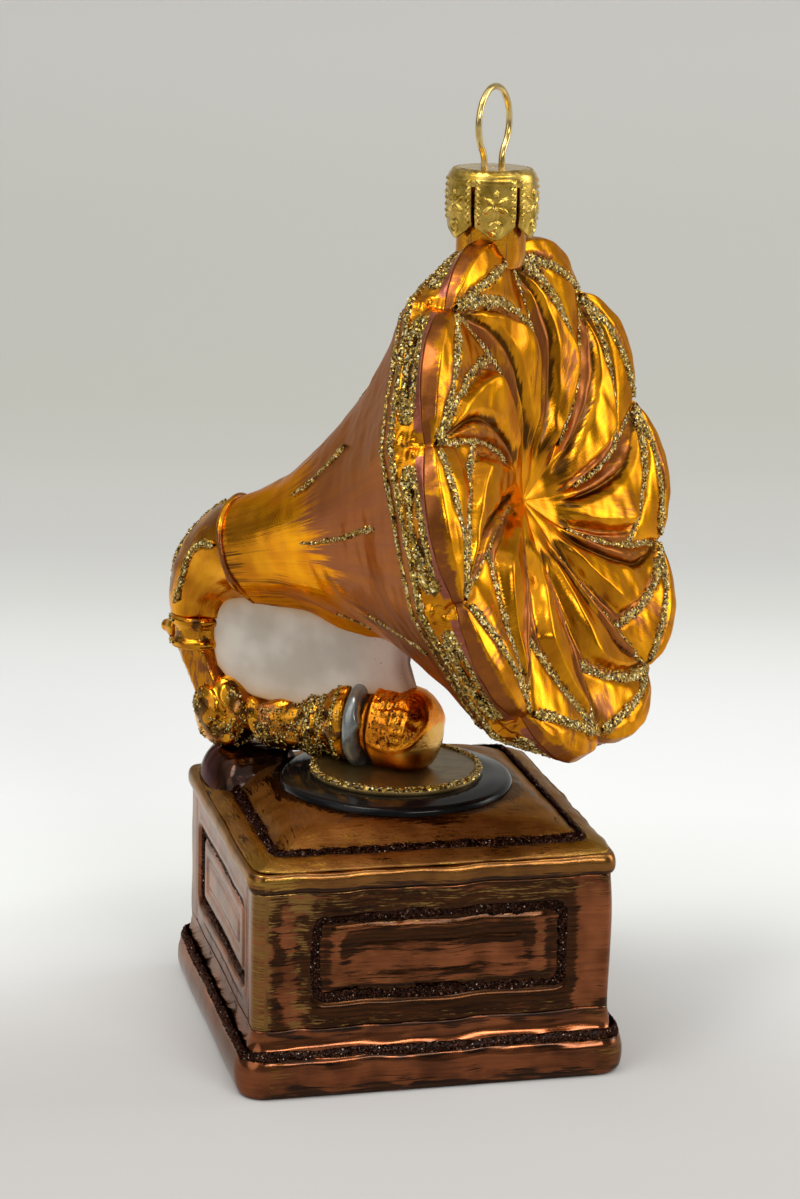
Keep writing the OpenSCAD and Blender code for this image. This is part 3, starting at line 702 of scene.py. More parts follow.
@dataclass(frozen=True)
class MirrorLacquer(Finish):
    """Glass silvered inside, under transparent lacquer, with brushed coats over it."""

    deep: Colour
    bright: Colour
    roughness: float = 0.12
    ripple: float = 0.16
    stroke: float = 1.0
    coat: float = 0.2
    coat_roughness: float = 0.04
    edge: Colour = (1.0, 0.86, 0.66)
    coats: tuple[Coating, ...] = ()
    speck: Colour | None = None

    def write(self, s: Sketch) -> bpy.types.Node:
        """Lays the mirror's colour, then each coat, then the specks."""
        place, lines = s.place(), s.mark("stroke", "Vector")
        uneven = s.group(uneven_coat(), Vector=place, Scale=0.22)
        strokes = s.group(brush_strokes(), Vector=lines, Scale=self.stroke, Bite=1.0)
        colour = s.mix(s.total(uneven["Mask"], 0.55, strokes["Mask"], 0.45), self.deep, self.bright)
        rough = s.line(uneven["Grain"], 0.5 * self.roughness, 0.75 * self.roughness)
        metal: object = 1.0
        # the coats include the dark coat and the gold coat, which also carry painted shade and painted highlight
        for coat in self.coats:
            hairs = s.group(brush_strokes(), Vector=lines, Scale=coat.scale, Bite=1.25)["Mask"]
            lies = s.group(brushed_edge(), Mark=s.mark(coat.mark), Strokes=hairs, Bite=coat.bite)[0]
            colour = s.mix(lies, colour, s.mix(hairs, coat.other, coat.colour))
            rough = s.blend(lies, rough, coat.roughness)
            if coat.metallic != 1.0:
                metal = s.blend(lies, metal, coat.metallic)
        if self.speck is not None:
            dots = s.group(paint_specks(), Vector=place, Scale=3.4, Size=0.95)[0]
            colour = s.mix(s.times(dots, s.mark("speck")), colour, self.speck)
        height = s.value("ADD", strokes["Height"], s.times(uneven["Grain"], 0.35))
        return s.shader(colour, rough, s.bump(self.ripple, 0.0004, height), Metallic=metal, Coat_IOR=1.5,
                        Specular_Tint=(*self.edge, 1.0), Coat_Weight=self.coat, Coat_Roughness=self.coat_roughness)


@dataclass(frozen=True)
class Glitter(Finish):
    """Metal grains in clear glue, with a rare few grains painted a pale glint colour as a painted highlight of light
    catching them.
    """

    dark: Colour
    light: Colour
    spark: Colour
    grain: float = 0.24
    rare: float = 0.86
    coat: float = 0.3
    edge: Colour = (1.0, 0.8, 0.5)

    def write(self, s: Sketch) -> bpy.types.Node:
        """Gives each grain a tint and a way to face, and paints a rare few with the glint colour, a painted highlight.
        """
        cells = s.group(glitter_facets(), Vector=s.place(), Scale=1.0 / self.grain, Tilt=0.9)
        tint = s.total(cells["Tint"], 0.6, s.mark("tint"), 0.4)
        # painted highlight: the rarest grains take the pale glint colour and are less metallic, so they shine under any
        # light
        glinting = s.step(cells["Tint"], self.rare, self.rare + 0.05)
        colour = s.mix(glinting, s.mix(s.step(tint, 0.1, 0.75), self.dark, self.light), self.spark)
        return s.shader(colour, 0.26, cells["Normal"], Metallic=s.blend(glinting, 1.0, 0.3), Coat_Roughness=0.1,
                        Specular_Tint=(*self.edge, 1.0), Coat_Weight=self.coat)


@dataclass(frozen=True)
class Painted(Finish):
    """A plain lacquer with brush marks and an uneven gloss."""

    colour: Colour
    other: Colour
    roughness: float
    metallic: float
    coat: float
    stroke: float = 1.0
    specular: float = 0.5

    def write(self, s: Sketch) -> bpy.types.Node:
        """Lays the paint with its strokes."""
        strokes = s.group(brush_strokes(), Vector=s.mark("stroke", "Vector"), Scale=self.stroke, Bite=0.9)
        uneven = s.group(uneven_coat(), Vector=s.place(), Scale=0.4)
        colour = s.mix(s.total(strokes["Mask"], 0.7, uneven["Mask"], 0.3), self.other, self.colour)
        return s.shader(colour, s.line(uneven["Grain"], 0.6 * self.roughness, 0.7 * self.roughness),
                        s.bump(0.08, 0.0003, strokes["Height"]), Metallic=self.metallic, Coat_Weight=self.coat,
                        Coat_Roughness=0.05, Specular_IOR_Level=self.specular)


@dataclass(frozen=True)
class FrostedLacquer(Finish):
    """Milky glass with amber along its edges and a blush at its free end."""

    white: Colour = (0.76, 0.72, 0.64)
    shade: Colour = (0.55, 0.50, 0.42)
    amber: Colour = (0.60, 0.30, 0.06)
    blush: Colour = (0.66, 0.42, 0.32)
    speck: Colour = (0.07, 0.03, 0.01)

    def write(self, s: Sketch) -> bpy.types.Node:
        """Lays the milk, the blush, the amber edges and a few specks."""
        place = s.place()
        uneven = s.group(uneven_coat(), Vector=place, Scale=0.16)
        colour = s.mix(uneven["Mask"], self.shade, self.white)
        soft = s.times(uneven["Grain"], 0.5)
        for name, low, tint in (("blush", 0.6, self.blush), ("spray", 0.65, self.amber)):
            colour = s.mix(s.times(s.mark(name), s.value("ADD", soft, low), clamp=True), colour, tint)
        dots = s.group(paint_specks(), Vector=place, Scale=1.5, Size=0.2)[0]
        colour = s.mix(s.times(dots, s.mark("speck")), colour, self.speck)
        return s.shader(colour, s.line(uneven["Grain"], 0.2, 0.28), s.bump(0.15, 0.0003, uneven["Grain"]),
                        Coat_Weight=0.35, Coat_Roughness=0.18)


@dataclass(frozen=True)
class GiltMetal(Finish):
    """Bright gilt metal with a fine grain and small dents."""

    light: Colour
    dark: Colour
    roughness: float
    dents: float

    def write(self, s: Sketch) -> bpy.types.Node:
        """Lays the gilding and its dents."""
        uneven = s.group(uneven_coat(), Vector=s.place(), Scale=0.6)
        return s.shader(s.mix(uneven["Mask"], self.dark, self.light),
                        s.line(uneven["Grain"], 0.6 * self.roughness, 0.7 * self.roughness),
                        s.bump(self.dents, 0.0002, uneven["Grain"]), Metallic=1.0)


# Palette of lacquers, one for each look. A coat's numbers are its roughness, metallic, scale and bite.

# The dark coat is partly dark brush paint and partly painted shade in hollows, creases, corners and under parts; the
# gold coat is partly gold brush paint and partly painted highlight on edges, corners and tops.
rose_coat, dark_paint_and_painted_shade_coat, gold_paint_and_painted_highlight_coat = (partial(Coating, mark) for mark in ("rose", "dusk", "gleam"))
AMBER = MirrorLacquer(
    "amber mirror lacquer", Slot.AMBER, deep=(0.36, 0.11, 0.004), bright=(0.84, 0.38, 0.012), roughness=0.10,
    coats=(rose_coat((0.30, 0.09, 0.022), 0.26, 0.9, 1.1, 1.0, (0.46, 0.15, 0.016)),
           dark_paint_and_painted_shade_coat((0.07, 0.026, 0.003), 0.2, 0.95, 1.2, 0.9, (0.20, 0.075, 0.005))))
PETAL = MirrorLacquer(
    "petal lacquer", Slot.AMBER, deep=(0.36, 0.115, 0.003), bright=(0.80, 0.33, 0.006), roughness=0.22,
    stroke=0.8, ripple=0.12, coat=0.10, edge=(0.95, 0.62, 0.30),
    coats=(rose_coat((0.22, 0.066, 0.018), 0.32, 0.9, 0.9, 0.9, (0.33, 0.10, 0.014)),
           dark_paint_and_painted_shade_coat((0.06, 0.024, 0.002), 0.3, 1.0, 1.2, 0.8, (0.15, 0.052, 0.003))))
BAND = MirrorLacquer(
    "band lacquer", Slot.AMBER, deep=(0.44, 0.12, 0.004), bright=(0.86, 0.36, 0.007), roughness=0.09,
    ripple=0.24, coat=0.1,
    coats=(rose_coat((0.40, 0.12, 0.075), 0.34, 0.8, 1.6, 0.5, (0.27, 0.072, 0.036)),
           dark_paint_and_painted_shade_coat((0.07, 0.022, 0.003), 0.25, 0.9, 1.4, 0.8, (0.0504, 0.01584, 0.00216))))
HORN = MirrorLacquer(
    "horn lacquer", Slot.ROSE, deep=(0.62, 0.18, 0.008), bright=(0.95, 0.40, 0.012), roughness=0.13,
    stroke=0.9, coat=0.08, edge=(0.85, 0.56, 0.36),
    coats=(rose_coat((0.28, 0.092, 0.046), 0.34, 0.9, 1.0, 1.1, (0.37, 0.12, 0.030)),
           dark_paint_and_painted_shade_coat((0.16, 0.055, 0.006), 0.25, 0.9, 0.8, 1.0, (0.30, 0.11, 0.008))))
COPPER = MirrorLacquer(
    "copper lacquer", Slot.COPPER, deep=(0.105, 0.030, 0.009), bright=(0.38, 0.122, 0.044), roughness=0.2,
    stroke=2.0, ripple=0.07, coat=0.14, edge=(0.78, 0.74, 0.70),
    coats=(dark_paint_and_painted_shade_coat((0.014, 0.005, 0.002), 0.2, 0.95, 2.3, 1.3, (0.085, 0.028, 0.006)),
           gold_paint_and_painted_highlight_coat((0.34, 0.19, 0.052), 0.24, 1.0, 4.6, 1.9, (0.15, 0.075, 0.018))))
PLINTH = MirrorLacquer(
    "plinth lacquer", Slot.COPPER, deep=(0.065, 0.018, 0.005), bright=(0.34, 0.100, 0.030), roughness=0.15,
    stroke=2.0, ripple=0.04, coat=0.3, coat_roughness=0.06, edge=(0.72, 0.64, 0.58),
    coats=(dark_paint_and_painted_shade_coat((0.012, 0.004, 0.002), 0.16, 0.95, 2.3, 1.3, (0.075, 0.024, 0.004)),
           gold_paint_and_painted_highlight_coat((0.30, 0.15, 0.020), 0.2, 1.0, 4.6, 1.9, (0.13, 0.058, 0.008))))
OLIVE = MirrorLacquer(
    "olive lacquer", Slot.OLIVE, deep=(0.13, 0.046, 0.008), bright=(0.33, 0.14, 0.026), roughness=0.22,
    stroke=2.0, ripple=0.10, coat=0.3, edge=(0.66, 0.54, 0.42),
    coats=(dark_paint_and_painted_shade_coat((0.020, 0.007, 0.003), 0.16, 0.95, 2.1, 1.3, (0.07, 0.025, 0.008)),
           gold_paint_and_painted_highlight_coat((0.50, 0.28, 0.045), 0.18, 1.0, 3.4, 1.9, (0.26, 0.13, 0.018))))
WOOD = MirrorLacquer(
    "lid lacquer", Slot.OLIVE, deep=(0.18, 0.068, 0.016), bright=(0.46, 0.21, 0.055), roughness=0.40,
    stroke=2.6, ripple=0.28, coat=0.12, edge=(0.60, 0.48, 0.38),
    coats=(dark_paint_and_painted_shade_coat((0.026, 0.010, 0.004), 0.24, 0.95, 2.6, 1.3, (0.10, 0.036, 0.008)),
           gold_paint_and_painted_highlight_coat((0.46, 0.26, 0.045), 0.26, 1.0, 4.0, 1.9, (0.26, 0.12, 0.018))))
THICK = MirrorLacquer(
    "thick dark lacquer", Slot.OLIVE, deep=(0.028, 0.010, 0.005), bright=(0.11, 0.042, 0.020), roughness=0.2,
    stroke=1.6, ripple=0.08, coat=0.22, edge=(0.42, 0.33, 0.30),
    coats=(dark_paint_and_painted_shade_coat((0.008, 0.003, 0.002), 0.16, 0.9, 1.6, 1.1, (0.03, 0.011, 0.006)),))
DRUM = MirrorLacquer(
    "speckled drum lacquer", Slot.AMBER, deep=(0.56, 0.125, 0.005), bright=(0.90, 0.36, 0.01), roughness=0.13,
    ripple=0.3, speck=(0.08, 0.016, 0.003),
    coats=(rose_coat((0.74, 0.43, 0.12), 0.12, 0.95, 0.4, 0.6, (0.62, 0.32, 0.05)),))
AMBER_ROSE = MirrorLacquer(
    "rose and amber lacquer", Slot.ROSE, deep=(0.46, 0.14, 0.005), bright=(0.88, 0.38, 0.012),
    stroke=0.9, coat=0.12, coats=(rose_coat((0.36, 0.12, 0.034), 0.26, 0.9, 0.9, 1.0, (0.19, 0.062, 0.012)),))
BLACK = Painted("black lacquer", Slot.BLACK, colour=(0.003, 0.003, 0.004), other=(0.007, 0.006, 0.006),
                roughness=0.12, metallic=0.0, coat=0.0, specular=0.16)
LABEL = Painted("gold label lacquer", Slot.LABEL, colour=(0.28, 0.195, 0.07), other=(0.13, 0.085, 0.026),
                roughness=0.40, metallic=0.9, coat=0.1, stroke=1.3)
GREY = Painted("grey lacquer", Slot.GREY, colour=(0.33, 0.35, 0.34), other=(0.17, 0.185, 0.185),
               roughness=0.22, metallic=0.6, coat=0.5, stroke=0.5)
FROST = FrostedLacquer("frosted white lacquer", Slot.FROST)
GILT_SHEET = GiltMetal("gilt sheet", Slot.GILT_SHEET, (0.80, 0.54, 0.115), (0.42, 0.26, 0.035), 0.17, 0.12)
GILT_WIRE = GiltMetal("gilt wire", Slot.GILT_WIRE, (0.80, 0.60, 0.24), (0.56, 0.38, 0.12), 0.16, 0.05)
GOLD_GRAINS = Glitter("gold glitter", Slot.GOLD_GLITTER, (0.10, 0.052, 0.006), (0.66, 0.44, 0.085), (1.0, 0.88, 0.46))
BROWN_GRAINS = Glitter("brown glitter", Slot.BROWN_GLITTER, (0.006, 0.003, 0.002), (0.050, 0.020, 0.012),
                       (0.9, 0.68, 0.55), grain=0.15, rare=0.968, coat=0.04, edge=(0.45, 0.32, 0.25))


# Lines of glitter


@dataclass
class Trail:
    """A line of grains in glue, laid on the glass.

    path holds points on the glass, lift the outward direction at each, width its breadth, height its rise,
    per_mm2 how many grains lie on it, grain their radius and ragged how uneven its edges are.
    """

    path: Array
    lift: Array
    width: float
    height: float
    closed: bool = False
    per_mm2: float = 7.0
    grain: float = 0.15
    seed: int = 1
    taper: tuple[float, float] = (1.0, 1.0)
    ragged: float = 0.14

    def laid(self) -> tuple[Array, Array, Array, Array]:
        """The path at even steps: its points, sides, lifts and half widths, with ragged edges."""
        path, lift = resample(self.path, GLUE_STEP, self.closed, self.lift)
        lift = unit(lift)
        way = unit(np.roll(path, -1, 0) - np.roll(path, 1, 0) if self.closed else np.gradient(path, axis=0))
        side = unit(np.cross(way, lift))
        lift = unit(np.cross(side, way))
        half = self.width / 2 * np.linspace(*self.taper, len(path))
        half = half * (1 + self.ragged * (wander(path, 2.2, self.seed) + wander(path, 0.9, self.seed + 1)))
        path = path + side * (0.06 * self.width * wander(path, 5.0, self.seed + 2))[:, None]
        if not self.closed:
            run = np.minimum(np.arange(len(path)), np.arange(len(path))[::-1]) * GLUE_STEP
            half = half * mix(0.35, 1.0, ease(run / 0.6))
        return path, side, lift, half

    def bits(self) -> list[Bits]:
        """The glue, a low rough ridge that dips into the glass at both sides, and loose flat grains over it."""
        path, side, lift, half = self.laid()
        across = np.array([-1.0, -0.86, -0.5, 0.0, 0.5, 0.86, 1.0])
        rise = self.height * np.array([-0.55, 0.25, 0.75, 0.9, 0.75, 0.25, -0.55])
        rng = np.random.default_rng(self.seed)
        rise = rise + rng.uniform(-0.13, 0.13, (len(path), 7)) * self.height * (np.abs(across) < 0.9)
        points = path[:, None] + side[:, None] * (half[:, None] * across)[..., None] + lift[:, None] * rise[..., None]
        marks = {"tint": rng.random((len(path), 7))}
        bed = Skin(points, around=False, ring=self.closed, marks=marks, flip=True).bits()
        bed.maps = []
        rng = np.random.default_rng(self.seed + 5)
        count = max(4, int(float(np.sum(half) * 2 * GLUE_STEP) * self.per_mm2))
        at = rng.integers(0, len(path), count)
        u = rng.uniform(-1.0, 1.0, count)
        rise = self.height * (0.55 + 0.45 * np.sqrt(1 - 0.9 * u * u)) - 0.12 + rng.uniform(-0.05, 0.1, count)
        spots = path[at] + side[at] * (half[at] * u)[:, None] + lift[at] * rise[:, None]
        facing = unit(lift[at] + side[at] * (0.5 * u)[:, None])
        return [bed, flakes(spots, facing, rng, self.grain * 0.7, self.grain * 1.25)]


def flakes(spots: Array, lift: Array, rng: np.random.Generator, low: float = 0.11, high: float = 0.2) -> Bits:
    """Flat five-sided grains, each leaning its own way.

    Args:
        spots: Their middles.
        lift: The way the surface under each one faces.
        rng: Where their sizes and leanings come from.
        low: Smallest radius.
        high: Largest radius.

    Returns:
        Their meshes, with a tint for each grain.
    """
    count = len(spots)
    facing = unit(lift + rng.normal(0, 0.55, (count, 3)))
    x = unit(np.cross(facing, rng.normal(size=(count, 3))))
    y = np.cross(facing, x)
    size = rng.uniform(low, high, count)
    turn = circle(5)[:, None]
    ring = spots[:, None] + (x[:, None] * np.cos(turn) + y[:, None] * np.sin(turn)) * size[:, None, None]
    tips = [spots + facing * size[:, None] * 0.32, spots - facing * size[:, None] * 0.32]
    points = np.concatenate([ring, np.stack(tips, axis=1)], axis=1).reshape(-1, 3)
    k = np.arange(5)
    after = (k + 1) % 5
    one = np.concatenate([np.stack([k, after, np.full(5, 5)], -1), np.stack([after, k, np.full(5, 6)], -1)])
    faces = (np.arange(count)[:, None, None] * 7 + one).reshape(-1, 3)
    return Bits(points, [faces], {"tint": np.repeat(rng.random(count), 7)[:, None]})


def make_grains(node: str, parts: Sequence[Bits], finish: Glitter) -> None:
    """One piece of glitter, for the solid that node names."""
    dress(make_piece(node + "_grains", parts, smooth=False), finish, Body.GLASS, node)


def make_lines(node: str, trails: Sequence[Trail], finish: Glitter) -> None:
    """One piece of glitter from its lines, each with its own seed."""
    parts: list[Bits] = []
    for n, trail in enumerate(trails):
        trail.seed = 10 * n + 3
        parts += trail.bits()
    make_grains(node, parts, finish)


def scatter(grid: Array, weight: Array, seed: int, per_mm2: float = 15.0) -> Bits:
    """Grains strewn over a grid of points whose last column runs on to its first.

    Args:
        grid: The surface, rows by columns.
        weight: How thickly they lie at each point, from 0 to 1.
        seed: Which strewing.
        per_mm2: Grains on a square millimetre where the weight is 1.

    Returns:
        The grains.
    """
    rng = np.random.default_rng(seed)
    here, right, up, lift = (g.reshape(-1, 3) for g in (grid[:-1], np.roll(grid, -1, 1)[:-1], grid[1:],
                                                        normals_of(grid)[:-1]))
    chance = np.linalg.norm(np.cross(right - here, up - here), axis=-1) * weight[:-1].ravel()
    count = int(chance.sum() * per_mm2)
    at = rng.choice(len(chance), count, p=chance / chance.sum())
    a, b = rng.random(count)[:, None], rng.random(count)[:, None]
    o, lift = here[at], lift[at]
    spots = o + (right[at] - o) * a + (up[at] - o) * b
    return flakes(spots + lift * rng.uniform(0.0, 0.12, count)[:, None], lift, rng)


# The case


class SquareRun:
    """Points round a square with round corners, anticlockwise from the left of its front wall."""

    def __init__(self, half: float, corner: float, straight: int = 99, bend: int = 6) -> None:
        """Walks round it.

        Args:
            half: Half its width.
            corner: Radius of its corners.
            straight: Points on each wall.
            bend: Steps round each corner.
        """
        reach = half - corner
        flat = np.linspace(-reach, reach, straight)
        turn = np.radians(np.linspace(0, 90, bend + 1))[1:-1]
        base, way, along, side = [], [], [], []
        for k, (c, s) in enumerate(QUARTERS):
            spin = np.array([[c, s], [-s, c]], float)
            base += [xyz(flat, -reach, 0)[:, :2] @ spin, np.tile([reach, -reach], (len(turn), 1)) @ spin]
            way += [np.tile([0.0, -1.0], (straight, 1)) @ spin, np.stack([np.sin(turn), -np.cos(turn)], 1) @ spin]
            along += [flat, reach + corner * turn]
            side += [k] * (straight + len(turn))
        self.corner, self.reach = corner, reach
        self.base, self.way = np.vstack(base), np.vstack(way)
        self.along, self.side = np.concatenate(along), np.array(side)
        self.total = self.side * (2 * reach + corner * math.pi / 2) + self.along
        self.from_corner = np.minimum(np.abs(self.along - reach), np.abs(self.along + reach))
        self.outward = np.concatenate([self.way, np.zeros((len(self.way), 1))], axis=1)
        self.shown = (self.side != 3).astype(float)

    def sweep(self, outline: Array) -> Array:
        """The grid that an outline, rows of distance out from the walls' face and height, sweeps round the square."""
        flat = self.base + self.way * (self.corner + outline[:, 0])[:, None, None]
        return xyz(flat[..., 0], flat[..., 1], outline[:, 1:2])

    def strokes(self, outline: Array) -> Array:
        """Brush vectors for strokes that run level."""
        return xyz(self.total * 0.055, run_along(outline)[:, None], 3.0)


QUARTERS = ((1, 0), (0, 1), (-1, 0), (0, -1))
FINE_GRAINS = {"closed": True, "per_mm2": 16.0, "grain": 0.1}


def plate_path(w: float, h: float, r: float) -> Array:
    """The edge of a plate of w by h with corners of radius r, anticlockwise, as points."""
    parts = []
    for k, (sx, sy) in enumerate(((1, -1), (1, 1), (-1, 1), (-1, -1))):
        turn = np.radians(np.linspace(-90, 0, 7) + 90 * k)
        parts.append(xyz(sx * (w / 2 - r) + r * np.cos(turn), sy * (h / 2 - r) + r * np.sin(turn), 0.0))
    return resample(np.vstack(parts), 0.5, closed=True)[0][:, :2]


@dataclass
class Case:
    """The square case: foot roll and cove, panelled walls, and cornice."""

    half: float = 23.0
    corner: float = 1.8
    foot_out: float = 2.0
    roll_h: float = 5.4
    cove_h: float = 3.2
    wall_h: float = 17.8
    cornice_out: float = 0.6
    cornice_h: float = 2.6
    panel_w: float = 33.4
    panel_h: float = 12.0
    panel_r: float = 1.9
    panel_shift: float = 0.7
    panel_sunk: float = 0.55
    inside: float = -1.3

    def __post_init__(self) -> None:
        """Works out the heights of its parts, and the walk round its walls."""
        self.z_wall = self.roll_h + self.cove_h
        self.z_cornice = self.z_wall + self.wall_h
        self.run = SquareRun(self.half, self.corner)

    def swept(self, outline: Array, sway: float) -> Array:
        """An outline swept round the case, with the small sways of blown glass, calmer on the left wall."""
        grid = self.run.sweep(outline)
        rise = ease(grid[..., 2]) * ease((outline[:, 0] + 1.1) / 0.5)[:, None]
        calm = 0.12 + 0.88 * self.run.shown
        move = sway * calm * (0.7 * wander(grid, 13.0, 4) + 0.5 * wander(grid * [1, 1, 0.4], 5.0, 5))
        grid = grid + self.run.outward * (move * rise)[..., None]
        grid[..., 2] += rise * sway * 0.8 * wander(grid * [1, 1, 0], 11.0, 6)
        return grid

    def near_corner(self, reach: float) -> Array:
        """A mark that is 1 at the upright corners and fades over reach."""
        return swell(self.run.from_corner * (np.abs(self.run.along) < self.run.reach), reach)

    def skin(self, name: str, grid: Array, outline: Array, dusk: Array, gleam: Array, finish: Finish,
             node: str) -> None:
        """A piece of the case from a swept outline and its two marks."""
        dusk, gleam = (mark + np.zeros(grid.shape[:2]) for mark in (dusk, gleam))
        glass(name, grid, {"dusk": dusk, "gleam": gleam, "stroke": self.run.strokes(outline)}, finish, node)

    def plinth(self) -> None:
        """The foot: a round roll, a groove and a cove up to the walls, closed underneath."""
        t, c = np.radians(np.arange(-90, 81, 6)), np.radians(np.arange(0, 91, 5))
        roll = np.stack([self.foot_out / 2 * (1 + np.cos(t)), self.roll_h / 2 * (1 + np.sin(t))], 1)
        cove = np.stack([0.7 * self.foot_out * (1 - np.sin(c)), self.roll_h + self.cove_h * (1 - np.cos(c))], 1)
        outline = finely(np.vstack([[[self.inside, 0.0]], roll, cove, [[self.inside, self.z_wall]]]), 0.4)
        grid = self.swept(outline, 0.16)
        z = grid[..., 2]
        folds = 0.035 * wander(grid * [0.16, 0.16, 1.3], 1.9, 7)
        folds = folds * ease((z - 2.5) / 1.5) * ease((self.z_wall - 0.3 - z) / 0.6)
        grid = grid + self.run.outward * (folds * self.run.shown)[..., None]
        high = outline[:, 1:2]
        patch = 0.75 + 0.35 * wander(grid * [1, 1, 2.2], 5.0, 12)
        # Painted shade: the dark coat is heaviest at the roll's underside, in the groove over the roll and at the top
        # of the cove under the walls. Painted highlight: the gold coat lies at the corners and along the roll's middle.
        dusk = (0.62 * swell(high - 0.6, 1.6) + 0.6 * swell(high - 5.2, 0.9) + 0.5 * swell(high - 8.4, 0.9)
                + 0.20) * patch
        gleam = 0.26 * self.near_corner(3.0) + 0.14 * swell(high - 3.2, 1.0) * patch
        quiet = 1 - 0.65 * (1 - self.run.shown)
        self.skin("plinth_glass", grid, outline, dusk * quiet, gleam * quiet, PLINTH, "plinth")

    def plates(self, u: Array, v: Array) -> tuple[Array, Array, Array]:
        """Distance outside the panel, its frame and its core, at u along the wall and v up from the panel's middle."""
        return (plate_edge(u, v, self.panel_w, self.panel_h, self.panel_r),
                plate_edge(u + 0.2, v - 0.1, self.panel_w - 5.2, self.panel_h - 3.4, 0.9),
                plate_edge(u + 0.3, v - 0.1, self.panel_w - 9.6, self.panel_h - 6.6, 0.7))

    def walls(self) -> None:
        """The four panelled walls."""
        run, middle = self.run, self.wall_h / 2
        high = np.linspace(0, self.wall_h, 62)
        outline = np.vstack([[[self.inside, 0.0]], np.stack([np.zeros(62), high], 1), [[self.inside, self.wall_h]]])
        outline = outline + [0, self.z_wall]
        grid = self.swept(outline, 0.2)
        wide, v = np.broadcast_arrays(run.along, (outline[:, 1] - self.z_wall - middle)[:, None])
        u = wide - self.panel_shift
        outer, rim, core = self.plates(u, v)
        rise = (-self.panel_sunk * ease(-outer / 0.8) + 0.12 * swell(outer - 0.5, 0.5) + 0.30 * ease(-rim / 0.55)
                - 0.20 * ease(-core / 0.55) + 0.16 * ease(-(core + 0.9) / 0.6)
                - 0.10 * swell(np.abs(u) - self.panel_w / 2 - 1.3, 0.5))
        grid = grid + run.outward * (rise * (outline[:, :1] == 0))[..., None]
        right, left = wide - run.reach, wide + run.reach
        broken = 0.25 + 0.75 * ease((wander(grid * [1, 1, 1.6], 2.7, 10) + 0.35) / 0.6)
        blotch = ease((wander(grid * [1, 1, 2.4], 6.0, 11) + 0.1) / 0.7)
        # a dark strip just inside the left corner
        dark_strip_by_left_corner = swell(left - 0.9 - 0.5 * wander(grid * [0, 0, 1], 5.0, 13), 0.9) * (0.35 + 0.65 * broken)
        # Painted shade in the dark coat: darker round the sunk panel's edge, at the wall's top under the cornice and at
        # its foot, and on the panel's inner steps, besides random dark strokes; less dark by the right corner.
        dusk = (0.80 * swell(outer, 1.9) + 0.38 * swell(v - middle, 1.6) + 0.5 * swell(v + middle, 1.2)
                + 0.42 * swell(rim, 0.6) * (rim < 2) + 0.62 * swell(core + 0.2, 0.7) * (v > 0)
                + 0.3 * swell(core + 0.2, 0.7) + 0.80 * dark_strip_by_left_corner + 0.35 * ease(-core / 1.2) * ease((v + 0.3) / 1.4)
                + 0.5 * swell(right + 4.3, 0.8) * broken + 0.16 + 0.16 * blotch) * (1 - 0.8 * swell(right + 1.9, 1.3))
        at_end = run.along > run.reach - 0.2
        # Painted highlight in the gold coat: lighter at the left corners and along the wall's top and foot, besides
        # random gold strokes.
        gleam = (0.42 * ((run.side == 3) & at_end) + 0.40 * swell(left + 0.3, 1.0)
                 + 0.42 * swell(left - 4.0, 1.6) * broken
                 + 0.28 * swell(v - middle + 1.6, 1.6) * (0.5 + 0.5 * broken) + 0.18 * swell(v + middle, 1.8) * broken
                 + 0.08 * (1 - blotch) + 0.06 + 0.10 * swell(core - 1.2, 0.8))
        quiet = 1 - 0.7 * (1 - run.shown) * ~at_end
        self.skin("wall_glass", grid, outline, np.clip(dusk, 0, 1) * quiet, gleam * quiet, COPPER, "case")

    def cornice(self) -> None:
        """The bead under the lid."""
        t = np.radians(np.arange(-90, 91, 7.5))
        low, top = self.z_cornice, self.z_cornice + self.cornice_h
        bead = np.stack([self.cornice_out * np.cos(t), low + self.cornice_h / 2 * (1 + np.sin(t))], 1)
        outline = finely(np.vstack([[[self.inside, low]], bead, [[self.inside, top]]]), 0.3)
        grid = self.swept(outline, 0.16)
        high = outline[:, 1:2] - low
        # Painted highlight: the gold coat lies along the bead's top, most near the corners. Painted shade: the dark
        # coat is heaviest on the bead's underside.
        gleam = (0.16 + 0.5 * self.near_corner(6.0)) * swell(high - 1.6, 1.0)
        gleam = gleam * (0.6 + 0.5 * wander(grid * [1, 1, 0], 14.0, 9))
        self.skin("cornice_glass", grid, outline, 0.25 + 0.5 * swell(high, 0.8), gleam, OLIVE, "cornice")

    def glitter(self) -> None:
        """The dark lines in the foot's groove and round each panel."""
        run = self.run
        flat = run.base + run.way * (self.corner + 1.25)
        path = xyz(flat[:, 0], flat[:, 1], self.roll_h + 0.15)
        groove = Trail(path, run.outward + [0, 0, 0.35], 1.45, 0.2, ragged=0.05, **FINE_GRAINS)
        make_lines("plinth_glitter", [groove], BROWN_GRAINS)
        flat = plate_path(self.panel_w - 1.3, self.panel_h - 1.3, self.panel_r) + [self.panel_shift, 0]
        up, middle = np.array([0, 0, 1.0]), [0, 0, self.z_wall + self.wall_h / 2]
        rings = []
        for c, s in QUARTERS:
            out = np.array([s, -c, 0.0])
            spots = np.array([c, s, 0.0]) * flat[:, :1] + middle + up * flat[:, 1:] + out * (self.half - 0.42)
            rings.append(Trail(spots, np.tile(out, (len(spots), 1)), 1.8, 0.2, **FINE_GRAINS))
        make_lines("panel_glitter", rings, BROWN_GRAINS)

    def build(self) -> None:
        """Builds the whole case."""
        self.plinth()
        self.walls()
        self.cornice()
        self.glitter()


# The lid


